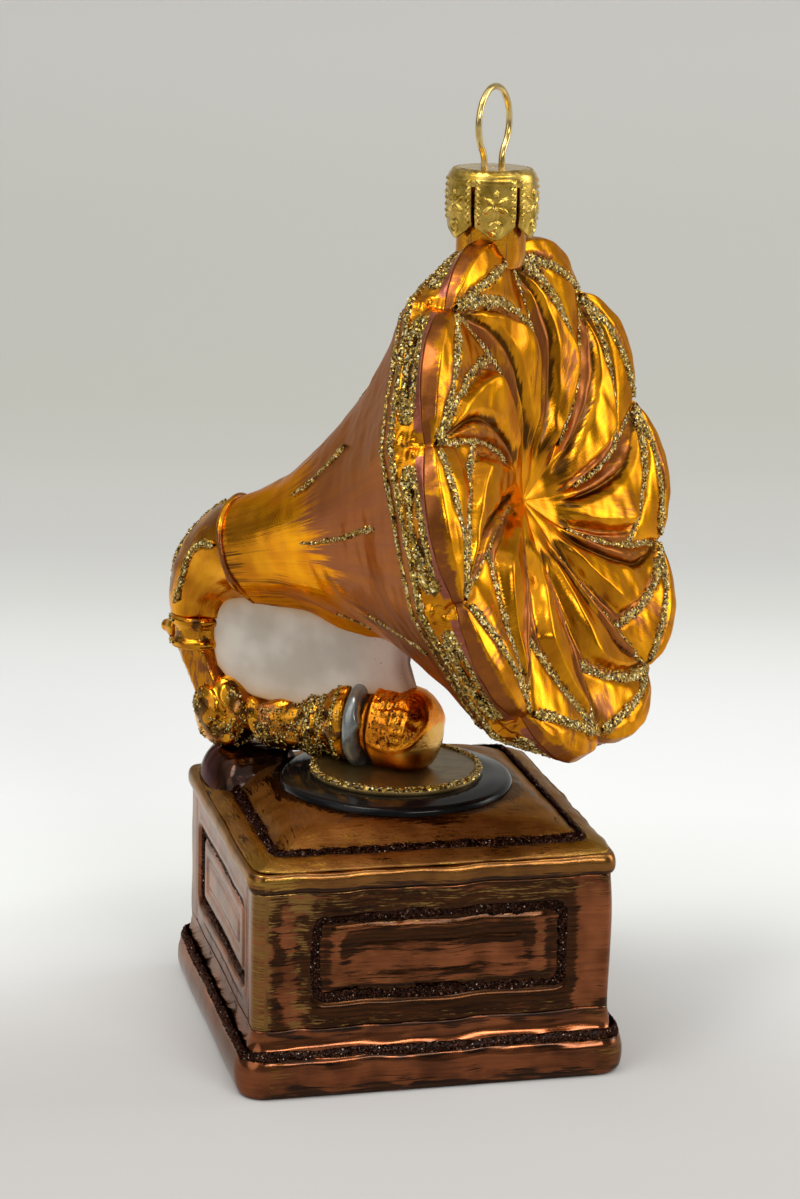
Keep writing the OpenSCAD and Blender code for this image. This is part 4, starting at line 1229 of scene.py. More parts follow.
@dataclass
class Lid:
    """The hipped lid with the record and its label."""

    half: float = 23.0
    border_w: float = 3.2
    z_border: float = 29.0
    border_rise: float = 1.2
    hip_step: float = 0.5
    hip_rise: float = 2.2
    record_r: float = 15.2
    record_h: float = 1.2
    label_r: float = 11.2
    label_t: float = 0.8
    columns: int = 360

    def __post_init__(self) -> None:
        """Works out half the hip's width, and the heights of hip, record and label."""
        self.hip_half = self.half - self.border_w
        self.z_hip = self.z_border + self.border_rise
        self.z_record = self.z_hip + self.hip_step + self.hip_rise
        self.z_label = self.z_record + self.record_h + self.label_t

    def ring(self, half: float, power: float, z: float) -> Array:
        """A ring of the lid, between a round square at a high power and a circle at 2."""
        turn = circle(self.columns) + math.pi / 4
        return spun(turn, half / (np.abs(np.cos(turn)) ** power + np.abs(np.sin(turn)) ** power) ** (1 / power), z)

    def grid(self) -> Array:
        """The lid's upper side, from its edge in to the record."""
        half, hip, z = self.half, self.hip_half, self.z_hip
        rings = [(half - 1.4, 18, self.z_border - 0.4), (half - 0.25, 18, self.z_border - 0.05)]
        rings += [(mix(half - 0.05, hip + 0.25, t), mix(18, 24, t),
                   self.z_border + self.border_rise * math.sin(math.pi / 2 * t) ** 0.85) for t in np.linspace(0, 1, 12)]
        rings += [(hip + 0.05, 24, z - 0.22), (hip - 0.2, 24, z - 0.1)]
        rings += [(mix(hip - 0.35, self.record_r - 0.6, t ** 0.92), mix(24, 2, t ** 0.42),
                   mix(z + 0.1, self.z_record, 1 - (1 - t) ** 1.45)) for t in np.linspace(0, 1, 28)]
        grid = np.array([self.ring(*ring) for ring in rings])
        grid[2:, :, 2] += 0.07 * wander(grid[2:], 12.0, 21) + 0.03 * wander(grid[2:], 4.0, 22)
        return grid

    def lid(self) -> None:
        """The lid's glass."""
        grid = self.grid()
        x, y = grid[..., 0], grid[..., 1]
        level = np.abs(y) > np.abs(x)
        far = np.maximum(np.abs(x), np.abs(y))
        corner = swell(np.abs(np.abs(x) - np.abs(y)), 6.0) * ease((far - 15) / 6)
        border = ease((far - self.hip_half) / 0.5)
        # Painted highlight: the gold coat lies on the border, most at the corners, and on the hip's front. Painted
        # shade: the dark coat gathers round the record and at the hip's foot, besides random patches.
        gleam = 0.16 * border + 0.40 * corner * border + 0.20 * (1 - border) * (y < 0) * ease((-y - 12) / 7) + 0.20
        dusk = (0.85 * ease((self.record_r + 2.2 - np.hypot(x, y)) / 2.4) + 0.6 * swell(far - self.hip_half, 0.9) + 0.16
                + 0.22 * ease(wander(grid, 9.0, 23)))
        lines = xyz(np.where(level, x * 0.11, y * 0.11), np.where(level, y, x), np.where(level, 1.0, 9.0))
        glass("lid_glass", grid, {"stroke": lines, "gleam": gleam, "dusk": np.clip(dusk, 0, 1)}, WOOD, "lid")

    def disc(self) -> None:
        """The black record, a low mound with a soft shoulder, and the label on it."""
        low, top, edge, r = self.z_record, self.z_record + self.record_h, self.record_r, self.label_r
        line = [(edge - 0.4, low - 0.9, 0), (edge, low - 0.5, 0.3), (edge - 0.25, low + 0.75, 0.7),
                (edge - 2.6, top - 0.02, 1.6), (r, top, 0), (2.0, top, 0)]
        grid = lathe(rounded(line, 9), 240, Frame())
        grid[..., 2] += 0.06 * wander(grid, 14.0, 31) * ease(edge - 0.2 - np.hypot(grid[..., 0], grid[..., 1]))
        glass("record_disc", grid, {"stroke": grid * [1.0, 1.0, 0.3]}, BLACK, "record")
        high = self.z_label
        line = [(r - 0.3, top - 0.2, 0), (r, top, 0.2), (r, high - 0.25, 0.2), (r - 0.5, high - 0.02, 0.3),
                (2.0, high, 0)]
        grid = lathe(rounded(line, 5), 200, Frame())
        grid[..., 2] += 0.05 * wander(grid, 9.0, 33) * (grid[..., 2] > high - 0.1)
        glass("label_disc", grid, {"stroke": grid * [0.5, 1.3, 1.0]}, LABEL, "record_label")

    def glitter(self) -> None:
        """The dark square at the hip's foot, and the gold rim of the label."""
        side = 2 * self.hip_half + 0.25
        flat = plate_path(side, side, 1.7)
        out = flat * (np.abs(flat) > self.hip_half - 1.2)
        lift = unit(xyz(out[:, 0], out[:, 1], 0.0)) * 0.8 + [0, 0, 1]
        line = Trail(xyz(flat[:, 0], flat[:, 1], self.z_hip + 0.1), lift, 1.6, 0.26, **FINE_GRAINS)
        make_lines("lid_glitter", [line], BROWN_GRAINS)
        turn = np.linspace(0, TURN, 161)[:-1]
        path = spun(turn, self.label_r - 0.5, self.z_label - 0.1)
        line = Trail(path, np.tile([0, 0, 1.0], (160, 1)), 0.95, 0.38, closed=True)
        make_lines("label_glitter", [line], GOLD_GRAINS)

    def build(self) -> None:
        """Builds the lid, the record and their glitter."""
        self.lid()
        self.disc()
        self.glitter()


# The tone arm


@dataclass
class ToneArm:
    """Ball, arm, flange, grey ring and sound box, in line over the record."""

    ball_r: float = 5.15
    arm_sag: float = 0.85
    ring_s: float = -5.6
    ring_r: float = 5.95
    ring_w: float = 2.1
    ring_up: float = 0.1
    drum_r: float = 5.6
    drum_l: float = 9.35
    drum_up: float = 0.25
    patch: tuple[float, float, float, float] = (1.0, 42.2, 4.3, 3.9)
    narrow: float = 0.93
    mound_z: float = 29.2
    mound_h: float = 5.0
    ridge_z: float = 34.6

    def __post_init__(self) -> None:
        """Sets the frame along the arm, from the ball's middle."""
        self.place = PLANE.along(PLANE.ball, PLANE.flange)

    def level(self, ahead: float, up: float) -> Frame:
        """The level frame of the sound box, starting ahead of the case's middle."""
        z = PLANE.arm_z + up
        return PLANE.along((ahead, z), (ahead + 1.0, z))

    def flatter(self, grid: Array) -> Array:
        """A grid narrowed across the horn's plane, as both halves of the mould draw it."""
        return grid - PLANE.across * (grid @ PLANE.across * (1 - self.narrow))[..., None]

    def foot(self) -> None:
        """The mound under ball and arm, where the lid's corner swells up to carry them, swirled like thick glass."""
        middle = PLANE.at(PLANE.ball[0], 0, 0)
        share, turn = table(np.linspace(1.0, 0.02, 60), circle(150))
        c, s = np.cos(turn), np.sin(turn)
        power = 2.3
        reach = ((np.abs(c) / np.where(c < 0, 3.9, 10.5)) ** power
                 + (np.abs(s) / np.where(s > 0, 6.6, 9.5)) ** power) ** (-1 / power)
        grid = xyz(middle[0] + share * reach * c, middle[1] + share * reach * s, 0.0)
        along, across = grid @ PLANE.ahead, grid @ PLANE.across
        rise = self.mound_h * (1 - share ** 2.8) ** 0.8
        ridge = np.clip(self.ridge_z - self.mound_z - rise, 0, 9) * swell(across, 2.6)
        rise = rise + ridge * ease((along + 24) / 3) * ease((-14.2 - along) / 2.0) * ease((1 - share) / 0.12)
        fold = 0.20 * wander(xyz(along * 0.35, across * 1.3, 0.0), 3.4, 40) + 0.06 * wander(grid, 1.8, 37)
        grid[..., 2] = self.mound_z + rise + fold * ease(rise / 2.0) * ease(share / 0.3)
        marks = {"stroke": xyz(along * 0.12, across, 0 * along),
                 "dusk": np.clip(0.30 + 0.65 * ease((along + 22.5) / 4.0), 0, 1)}
        glass("arm_foot_glass", grid, marks, THICK, "arm_foot")

    def ball(self) -> Array:
        """The ball, a little dented and shorter along the arm; returns its grid."""
        turn = np.radians(np.linspace(2, 178, 80))
        grid = lathe(np.stack([np.sin(turn), -np.cos(turn) * 0.97], 1) * self.ball_r, 120, self.place)
        dents = (0.12 * wander(grid, 7.0, 41) + 0.06 * wander(grid, 3.0, 42)
                 - 0.7 * ease((wander(grid, 5.0, 38) - 0.75) / 0.4))
        grid = self.flatter(puffed(grid, dents))
        glass("ball_glass", grid, {"stroke": grid * 0.6, "rose": 0.7 * ease(wander(grid, 8.0, 43) - 0.1),
                                   "dusk": 0.85 * ease((wander(grid, 4.2, 36) - 0.25) / 0.5)}, AMBER, "arm_ball")
        return grid

    def arm(self) -> Array:
        """The arm: a dimpled waist, a bead and a flange that opens to the ring; returns its grid."""
        line = rounded([(1.5, 3.0, 0), (3.0, 3.6, 0.4), (3.75, 5.9, 0.9), (3.75, 7.4, 1.4), (3.85, 10.6, 1.0),
                        (3.75, 12.0, 0.5), (4.3, 12.9, 0.4), (4.35, 14.0, 0.4), (4.0, 14.7, 0.35), (4.4, 15.6, 0.5),
                        (4.95, 16.6, 0.6), (5.35, 17.7, 0.4), (5.4, 18.9, 0.3), (4.6, 19.25, 0.3), (1.5, 19.25, 0)], 7)
        z, columns = line[:, 1], 128
        grid = lathe(line, columns, self.place)
        waist = (ease((z - 4.4) / 1.2) * ease((12.4 - z) / 1.2))[:, None]
        dimple = waist * np.clip(np.cos(5 * circle(columns) + 0.6), 0, 1) ** 0.7
        dimple = dimple * (0.6 + 0.4 * np.cos(z * 1.1)[:, None])
        sag = self.arm_sag * ease((z - 3.4) / 2.5) * ease((16.5 - z) / 4.0)
        size = 1 - 0.13 * dimple + 0.035 * wander(grid, 3.5, 45) * (line[:, :1] > 2.5)
        grid = self.flatter(self.place.line(z, sag) + (grid - self.place.line(z)) * size[..., None])
        # Painted shade: the dark coat gathers on the arm's underside, below 39 mm, besides random patches.
        low = ease((39.0 - grid[..., 2]) / 3.0) * ease((wander(grid, 3.0, 34) + 0.5) / 0.6)
        dusk = np.clip(0.75 * ease((wander(grid, 3.2, 35) - 0.1) / 0.5) + 0.6 * low, 0, 1)
        marks = {"stroke": grid * 0.6, "rose": 0.6 * ease(wander(grid, 6.0, 46) + 0.1), "dusk": dusk}
        glass("arm_glass", grid, marks, AMBER, "tone_arm")
        return grid

    def ring(self) -> None:
        """The grey ring, with a wavy front edge and a notch at its top."""
        w, r, columns = self.ring_w, self.ring_r, 144
        line = rounded([(0.8, 0.0, 0), (r - 0.8, 0.0, 0.3), (r - 0.2, 0.3, 0.35), (r, 0.95, 0.3), (r - 0.1, 1.6, 0.3),
                        (r - 0.6, w, 0.3), (0.8, w, 0)], 8)
        grid = lathe(line, columns, self.level(self.ring_s, self.ring_up))
        turn = circle(columns)
        wave = (0.22 * np.sin(3 * turn + 0.7) + 0.14 * np.sin(7 * turn + 2.0) + 0.08 * np.sin(13 * turn)
                - 0.5 * swell(np.cos(turn - 2.75) - 1, 0.05))
        front = (ease((line[:, 1] - 0.6) / 1.2) * ease((line[:, 0] - 3.5) / 1.2))[:, None]
        middle = PLANE.at(self.ring_s + line[:, 1], 0, PLANE.arm_z + self.ring_up)[:, None]
        size = 1 - 0.03 * np.clip(wave, 0, 1) * front + 0.01 * wander(grid, 4.0, 47)
        grid = middle + (grid - middle) * size[..., None] + PLANE.ahead * (front * wave)[..., None] * 0.8
        grid = self.flatter(grid)
        glass("ring_glass", grid, {"stroke": grid * [0.5, 0.5, 1.4]}, GREY, "sound_box_ring")

    def drum(self) -> None:
        """The sound box: a groove, a speckled round patch at each side inside a thin frame, and a domed nose."""
        r = self.drum_r
        z = np.linspace(0, 1, 60) ** 0.8
        dome = np.clip(1 - np.clip((z - 0.46) / 0.54, 0, 1) ** 2.7, 0.0008, 1) ** 0.42
        dome = np.stack([r * dome, self.drum_l * (0.18 + 0.82 * z)], 1)
        root = [(1.0, 0.0, 0), (4.6, 0.05, 0.3), (4.65, 0.9, 0.3), (r - 0.25, 1.35, 0.25), (r, dome[0, 1], 0)]
        line = np.vstack([rounded(root), dome[1:]])
        grid = lathe(line, 144, self.level(self.ring_s + self.ring_w, self.drum_up))
        s, high, off = grid @ PLANE.ahead, grid[..., 2], np.abs(grid @ PLANE.across)
        mid_s, mid_z, half_s, half_z = self.patch
        lip = (np.hypot((s - mid_s) / half_s, (high - mid_z) / half_z) - 1) * half_z
        side = ease((off - 1.0) / 1.5) * ease((s + 1.9) / 0.4)
        within = ease(-lip / 0.3) * side
        step = side * (0.16 * swell(lip - 0.15, 0.25) - 0.16 * ease(-lip / 0.3))
        grid = self.flatter(puffed(grid, step + 0.10 * wander(grid, 1.7, 49) * within + 0.08 * wander(grid, 5.0, 48)))
        speck = within * (0.5 + 0.5 * ease((wander(grid, 2.2, 50) + 0.25) / 0.4))
        # The pale coat on the nose is partly the nose's olive-gold paint and partly painted highlight, heavier towards
        # the top.
        rose = ease((lip - 0.3) / 0.4) * ease((s - 0.5) / 2.0) * (0.45 + 0.55 * ease((high - 37.0) / 3))
        glass("drum_glass", grid, {"stroke": grid * 0.4, "speck": speck, "rose": rose}, DRUM, "sound_box")

    def glitter(self, ball: Array, arm: Array) -> None:
        """Hoops on the arm and its flange, and patches of grains over ball and arm."""
        parts: list[Bits] = []
        local = spun(np.linspace(0, TURN, 73)[:-1], 1.0, 0.0)
        for n, (z, r, width) in enumerate(((13.5, 4.12, 1.2), (15.2, 3.95, 0.8), (17.6, 5.05, 0.7))):
            sag = self.arm_sag * float(ease((16.5 - z) / 4.0))
            hoop = self.flatter(self.place.points(local * (r + 0.2) + [sag, 0, z]))
            parts += Trail(hoop, self.place.ways(local), width, 0.34, closed=True, seed=71 + n).bits()
        rough = ease((wander(ball, 5.0, 51) - 0.32) / 0.25) + swell(wander(ball, 9.0, 55) - 0.1, 0.16)
        parts.append(scatter(ball, np.clip(rough, 0, 1), 52))
        along = (arm - self.place.origin) @ self.place.z
        over = ease((along - 4.0) / 1.0) * (1 - 0.85 * ease((along - 15.8) / 0.8))
        parts.append(scatter(arm, over * np.clip(0.10 + ease((wander(arm, 4.0, 53) + 0.25) / 0.4), 0, 1), 54))
        make_grains("arm_glitter", parts, GOLD_GRAINS)

    def build(self) -> None:
        """Builds the tone arm from its foot to the sound box."""
        self.foot()
        ball = self.ball()
        arm = self.arm()
        self.ring()
        self.drum()
        self.glitter(ball, arm)


# Riser, collar and elbow


@dataclass
class Elbow:
    """The riser tube, the collar with its knob, the bend and the bead at the horn's throat."""

    collar_r: float = 3.5
    collar_out: float = 0.3
    collar_on: float = 0.4
    knob_r: float = 1.9
    knob_l: float = 2.2
    throat_r: float = 6.6
    bead_r: float = 0.48

    def riser(self) -> None:
        """The tube from the ball up to the collar, with soft flats."""
        line = rounded([(2.7, 1.6, 0), (3.15, 3.4, 0.5), (3.05, 6.0, 1.0), (3.2, 8.0, 0.6), (3.1, 9.4, 0)])
        up = PLANE.along(PLANE.ball + [-PLANE.collar_back * 0.3 + 0.5, 0], PLANE.collar + [0.6, 0])
        grid, middle = lathe(line, 96, up), up.line(line[:, 1])
        size = 1 - 0.10 * np.abs(np.sin(3 * circle(96))) + 0.015 * wander(grid, 3.0, 61)
        grid = middle + (grid - middle) * size[..., None]
        marks = {"stroke": grid * [1.6, 1.6, 0.3], "rose": 0.45 + 0.5 * ease(wander(grid, 5.0, 62))}
        glass("riser_glass", grid, marks, AMBER_ROSE, "riser")

    def collar(self) -> None:
        """The beaded collar and its pointed knob."""
        up = PLANE.upright(*(PLANE.collar + [self.collar_on, 0]))
        r = self.collar_r + self.collar_out
        line = rounded([(1.0, 0.0, 0), (r - 0.2, 0.0, 0.3), (r, 0.5, 0.3), (r - 0.1, 1.1, 0.3), (r - 0.5, 1.4, 0.25),
                        (r - 0.42, 2.9, 0.4), (r - 0.1, 3.25, 0.3), (r, 3.9, 0.35), (r - 0.25, 4.4, 0.3),
                        (1.0, 4.4, 0)], 7)
        grid = lathe(line, 96, up)
        grid = grid + unit(grid - up.origin) * (0.06 * wander(grid, 3.0, 63) * (line[:, :1] > 2.6))[..., None]
        root = PLANE.collar + [0.9 - self.collar_r, PLANE.collar_h * 0.45]
        tip = rounded([(self.knob_r, 0.0, 0), (self.knob_r, 0.3, 0.3), (1.65, 0.9, 0.4), (0.95, 1.7, 0.5),
                       (0.75, 2.4, 0.3), (0.12, self.knob_l + 0.6, 0)])
        parts = [Skin(g, **CLOSED, marks={"stroke": g * 0.6, "rose": np.full(g.shape[:2], 0.15),
                                          "dusk": 0.6 * ease((wander(g, 3.0, 68) - 0.2) / 0.5)})
                 for g in (grid, lathe(tip, 64, PLANE.along(root, root - [1.0, 0])))]
        dress(make_piece("collar_glass", parts), AMBER, Body.GLASS, "collar")

    def middle(self, t: Array) -> Array:
        """The bend's middle line at share t."""
        t = t[..., None]
        a, d = PLANE.collar_top, PLANE.throat
        b, c = a + [0, PLANE.throat_up / 2], d - PLANE.throat_out / 2 * PLANE.way
        return (1 - t) ** 3 * a + 3 * t * (1 - t) ** 2 * b + 3 * t * t * (1 - t) * c + t ** 3 * d

    def wall(self, t: Array, turn: Array, out: float = 0.0) -> Array:
        """A point of the bend's wall at share t, turned from the inside of the bend by radians."""
        mid, lean = self.middle(t), np.radians((90 - PLANE.tilt) * t ** 1.1)
        r = mix(self.collar_r, self.throat_r, t) + out
        r = r + 0.15 * ease(t / 0.3) * np.cos(turn * 2) ** 2 + 1.3 * swell(np.arctan2(np.sin(turn), np.cos(turn)), 0.5)
        in_plane = r * np.cos(turn)
        return PLANE.at(mid[..., 0] + in_plane * np.cos(lean), r * np.sin(turn), mid[..., 1] - in_plane * np.sin(lean))

    def bend(self) -> None:
        """The bend's glass."""
        t, turn = table(np.linspace(0, 1, 52), circle(112))
        grid = self.wall(t, turn, -0.12)
        grid = puffed(grid, 0.10 * wander(grid, 7.0, 64) + 0.05 * wander(grid, 2.6, 65))
        back = (1 - np.cos(turn)) / 2
        rose = np.clip(1.1 * ease((back - 0.6) / 0.4) * (0.75 + 0.4 * wander(grid, 6.0, 66)), 0, 1)
        glass("elbow_glass", grid, {"stroke": spun(turn, 6, t * 2.2), "rose": rose}, AMBER_ROSE, "elbow")

    def bead(self) -> None:
        """The bead round the horn's throat."""
        small, turn = table(-circle(18), np.arange(140) * 360 / 140)
        way = np.radians(turn)
        size = self.bead_r * (1 + 0.12 * np.sin(way * 5) + 0.08 * np.sin(way * 11))
        grid = PLANE.on_axis(self.throat_r + size * np.cos(small), turn,
                             -PLANE.horn_l - PLANE.band_d + size * np.sin(small))
        marks = {"stroke": grid * 0.8, "rose": 0.6 + 0.4 * np.sin(way * 3)}
        glass("throat_bead", grid, marks, AMBER_ROSE, "throat_ring", ring=True)

    def glitter(self) -> None:
        """Lines down both sides of the bend, over its back, round the collar and up the riser."""
        t = np.linspace(0.12, 0.92, 40)
        trails = []
        for a in (110, 180, 250):
            turn = math.radians(a) + 0.12 * np.sin(9 * t + a)
            spots = self.wall(t, turn)
            trails.append(Trail(spots, spots - self.wall(t, turn, -1.0), 1.05, 0.36))
        s, z = PLANE.collar + [self.collar_on, 0]
        turn = np.linspace(math.pi - 1.0, math.pi + 1.0, 30)
        ways = PLANE.at(np.cos(turn), np.sin(turn), 0)
        for up in (0.7, 3.8):
            spots = PLANE.at(s, 0, z + up) + ways * (self.collar_r + self.collar_out - 0.1)
            trails.append(Trail(spots, ways, 0.9, 0.36))
        low, high = PLANE.ball + [-5.0, 2.2], PLANE.collar + [-2.75, 0.3]
        spots = PLANE.at(np.linspace(low[0], high[0], 20), -0.4, np.linspace(low[1], high[1], 20))
        trails.append(Trail(spots, np.tile(-PLANE.ahead - 0.4 * PLANE.across, (20, 1)), 1.0, 0.36))
        make_lines("elbow_glitter", trails, GOLD_GRAINS)

    def build(self) -> None:
        """Builds riser, collar, bend and bead."""
        self.riser()
        self.collar()
        self.bend()
        self.bead()
        self.glitter()


# The horn and the bell


@dataclass
class Bell:
    """The flared horn, the bell's band and its scalloped face.

    Its methods take t, the share of the flare's length, p, the share of the face's radius, w, the share of a
    lobe, k, the lobe's number, and q, the share of the way over the rim's roll or the band.
    """

    lobes: int = 10
    throat_r: float = 6.6
    bell_r: float = 32.8
    flare: float = 1.75
    notch_r: float = PLANE.notch_r
    lobe_r: float = 33.4
    notch_angle: float = 4.0
    lobe_puff: float = 2.4
    band_d: float = PLANE.band_d
    roll_d: float = 1.2
    dish_d: float = 4.4
    petal_h: float = 1.8
    join_share: float = 0.68
    ridge_q: float = 0.4
    glass_t: float = 0.9

    def turn(self, w: Number, k: Number) -> Array:
        """Degrees from the top."""
        return self.notch_angle + 360 / self.lobes * (np.asarray(w) + k)

    def strokes(self, w: Array, k: Array, reach: float, z: Array, swirl: Number = 0.0) -> Array:
        """Brush vectors for strokes that run in and out."""
        return spun(np.radians(360 / self.lobes * (w + k) + swirl), reach, z)

    def hump(self, w: Array) -> Array:
        """A swelling that is 0 at the notches and 1 in the middle of a lobe."""
        return np.clip(np.sin(math.pi * np.clip(w, 0, 1)), 0, 1) ** 0.8

    def edge_r(self, w: Array) -> Array:
        """Radius of the rim."""
        return mix(self.notch_r, self.lobe_r, self.hump(w))

    def side_share(self, w: Array) -> Array:
        """How much nearer the axis a straight side lies than its corners."""
        half = math.pi / self.lobes
        return math.cos(half) / np.cos(2 * half * (np.asarray(w) - 0.5))

    def flare_point(self, t: Array, turn: Array, out: float = 0.0) -> Array:
        """A point of the flare's outside, turned from the top by degrees."""
        w = np.mod((turn - self.notch_angle) / 360 * self.lobes, 1.0)
        deep = np.interp(t, (0.0, 0.1, 0.25, 0.4, 0.5, 0.62), (1.3, 1.9, 2.9, 3.0, 1.4, 0.0))
        keel = deep * (1 + 0.12 * np.sin(26 * t)) * swell(np.mod(turn, 360) - 180, mix(22, 11, ease(t / 0.5)))
        flute = 0.22 * np.cos(2 * math.pi * w) * t ** 2
        r = (self.throat_r + (self.bell_r - self.throat_r) * t ** self.flare) * mix(1.0, self.side_share(w), t ** 6)
        r = r + keel + flute * (1 - ease((t - 0.9) / 0.1)) + out
        return PLANE.on_axis(r, turn, -self.band_d - PLANE.horn_l * (1 - t))

    def horn(self) -> None:
        """The flared horn."""
        t, turn = table(1 - np.linspace(0, 1, 104) ** 1.15, self.notch_angle + np.arange(260) * 360 / 260)
        grid = self.flare_point(t, turn)
        free = ease((1 - t) / 0.06) * ease(t / 0.05)
        grid = puffed(grid, (0.16 * wander(grid, 15.0, 81) + 0.04 * wander(grid, 4.0, 82)) * free)
        way = np.radians(turn)
        under = swell(np.mod(turn, 360) - 180, 34) * (1 - ease((t - 0.5) / 0.2))
        rose = ease((t - 0.15 + 0.14 * np.cos(way) + 0.05 * wander(grid, 16.0, 83)) / 0.58) * (1 - under)
        dusk = (0.35 * ease((t - 0.9) / 0.1) + 0.24 * (1 - ease((t - 0.1) / 0.35))
                + 0.22 * ease((wander(grid, 14.0, 84) - 0.2)))
        glass("horn_glass", grid, {"rose": rose, "dusk": dusk, "stroke": spun(way, 17, t * 1.4)}, HORN, "horn")

    # The face

    def arc(self, p: Array) -> Array:
        """Length round the axis of a whole lobe."""
        return 2 * math.pi / self.lobes * self.notch_r * p

    def dish(self, p: Array) -> Array:
        """Height of the face's hollow."""
        return -self.dish_d * np.clip(1 - p / 0.65, 0, 1) ** 1.3

    def swirl(self, p: Array) -> Array:
        """Degrees by which the lines on the face have turned."""
        return 19.0 * np.clip((1 - np.asarray(p)) / 0.75, 0, 1.3) ** 1.15

    def edge_p(self, w: Array) -> Array:
        """Share of the radius at which a petal's curved edge crosses w."""
        return 1 - (1 - self.join_share) * (1 - np.clip(1 - np.asarray(w), 0, 1) ** 1.1)

    def rim_p(self, w: Array) -> Array:
        """Share of the radius at which the line along the rim crosses w."""
        return 0.99 * self.side_share(w) + 0.02 * self.hump(w)

    def strip(self, p: Array) -> Array:
        """Share of a lobe that the brown strip beside its radial line takes up."""
        return 0.21 * (1 - ease((p - 0.66) / 0.34))

    def leaf(self, p: Array, w: Array) -> Array:
        """How far a point lies inside a petal's smooth leaf, in millimetres."""
        soft = 0.4
        sides = (self.arc(p) * (w - self.strip(p)), self.arc(p) * (0.85 - w), self.notch_r * (self.edge_p(w) - p) - 1.5)
        return -soft * np.log(sum(np.exp(-side / soft) for side in sides))

    def face_z(self, p: Array, w: Array) -> Array:
        """Height of the face, ahead of the notches."""
        p, w = np.broadcast_arrays(np.asarray(p, float), np.asarray(w, float))
        arc, strip, edge, hump = self.arc(p), self.strip(p), self.edge_p(w), self.hump(w)
        body = hump * mix(self.petal_h * 0.5 * np.minimum(1, 1.7 * p), self.lobe_puff * 0.8, ease((p - 0.74) / 0.26))
        deep, fade = self.leaf(p, w), ease((p - 0.16) / 0.18)
        slope = 0.45 + 0.55 * ease(arc * (w - strip) / (0.60 * arc + 0.1))
        petal = fade * (1.25 * ease(deep / 1.5) * slope - 0.55 * swell(deep, 0.42))
        ridge = 0.55 * fade * np.sin(math.pi * np.clip(w / np.maximum(strip, 0.02), 0, 1)) * (p < edge)
        ridge = ridge * ease((strip - 0.02) / 0.1)
        line = 0.45 * swell(p - edge, 0.026) * np.minimum(1, 6 * w) * (p > self.join_share - 0.1)
        radial = 0.35 * fade * swell(arc * np.minimum(w, 1 - w), 0.5)
        rim = 0.35 * swell(p - self.rim_p(w), 0.022) * hump
        return self.dish(p) + body + petal + ridge - line - radial - rim

    def face_point(self, p: Array, w: Number, k: Number, out: float = 0.0) -> Array:
        """A point of the face."""
        return PLANE.on_axis(self.notch_r * p, self.turn(w, k) + self.swirl(p), self.face_z(p, w) + out)

    def roll_z(self, w: Array) -> Array:
        """Height at which the rim's roll meets the band."""
        return 0.3 * self.lobe_puff * self.hump(w) - self.roll_d

    def roll_point(self, q: Array, w: Array, k: Array) -> Array:
        """A point of the rim's roll, from the face at q = 0 to the band at q = 1."""
        ridge = mix(self.notch_r, self.edge_r(w), 0.70)
        first, then = np.clip(q / self.ridge_q, 0, 1), np.clip((q - self.ridge_q) / (1 - self.ridge_q), 0, 1)
        r = mix(mix(self.notch_r, ridge, first), self.edge_r(w), then)
        top, low = self.face_z(1.0, w), self.roll_z(w)
        z = mix(top, top * 0.86, first) + (low - top * 0.86) * then + 0.16 * self.hump(w) * np.sin(math.pi * then)
        return PLANE.on_axis(r, self.turn(w, k), z)

    def columns(self, rows: Array, per_lobe: int) -> list[Array]:
        """Rows by columns of a row's value, the share in the lobe and the lobe's number."""
        i = np.arange(self.lobes * per_lobe)
        return np.broadcast_arrays(rows[:, None], i % per_lobe / per_lobe, i // per_lobe)

    def face(self) -> None:
        """The face with its petals and its rolled rim, and its inner side."""
        n = 56
        p, w, k = self.columns(np.concatenate([np.linspace(0.02, 0.3, 22)[:-1], np.linspace(0.3, 1.0, 88)]), n)
        grid = self.face_point(p, w, k)
        grid = puffed(grid, (0.10 * wander(grid, 9.0, 91) + 0.05 * wander(grid, 3.2, 92)) * ease(p / 0.1))
        deep, fade = self.leaf(p, w), ease((p - 0.16) / 0.2)
        outside, past_rim = p > self.edge_p(w), p - self.rim_p(w)
        patch = ease(wander(grid, 17.0, 93) + 0.15)
        rose = fade * (1 - ease((deep + 0.25) / 0.7)) * (~outside) * (0.55 + 0.45 * patch) + 0.45 * outside * patch
        rose = rose + 0.5 * ease((deep - 0.5) / 2.0) * ease((wander(grid, 22.0, 94) - 0.55) / 0.4)
        rose = mix(rose, 0.30 + 0.35 * patch, ease(past_rim / 0.02))
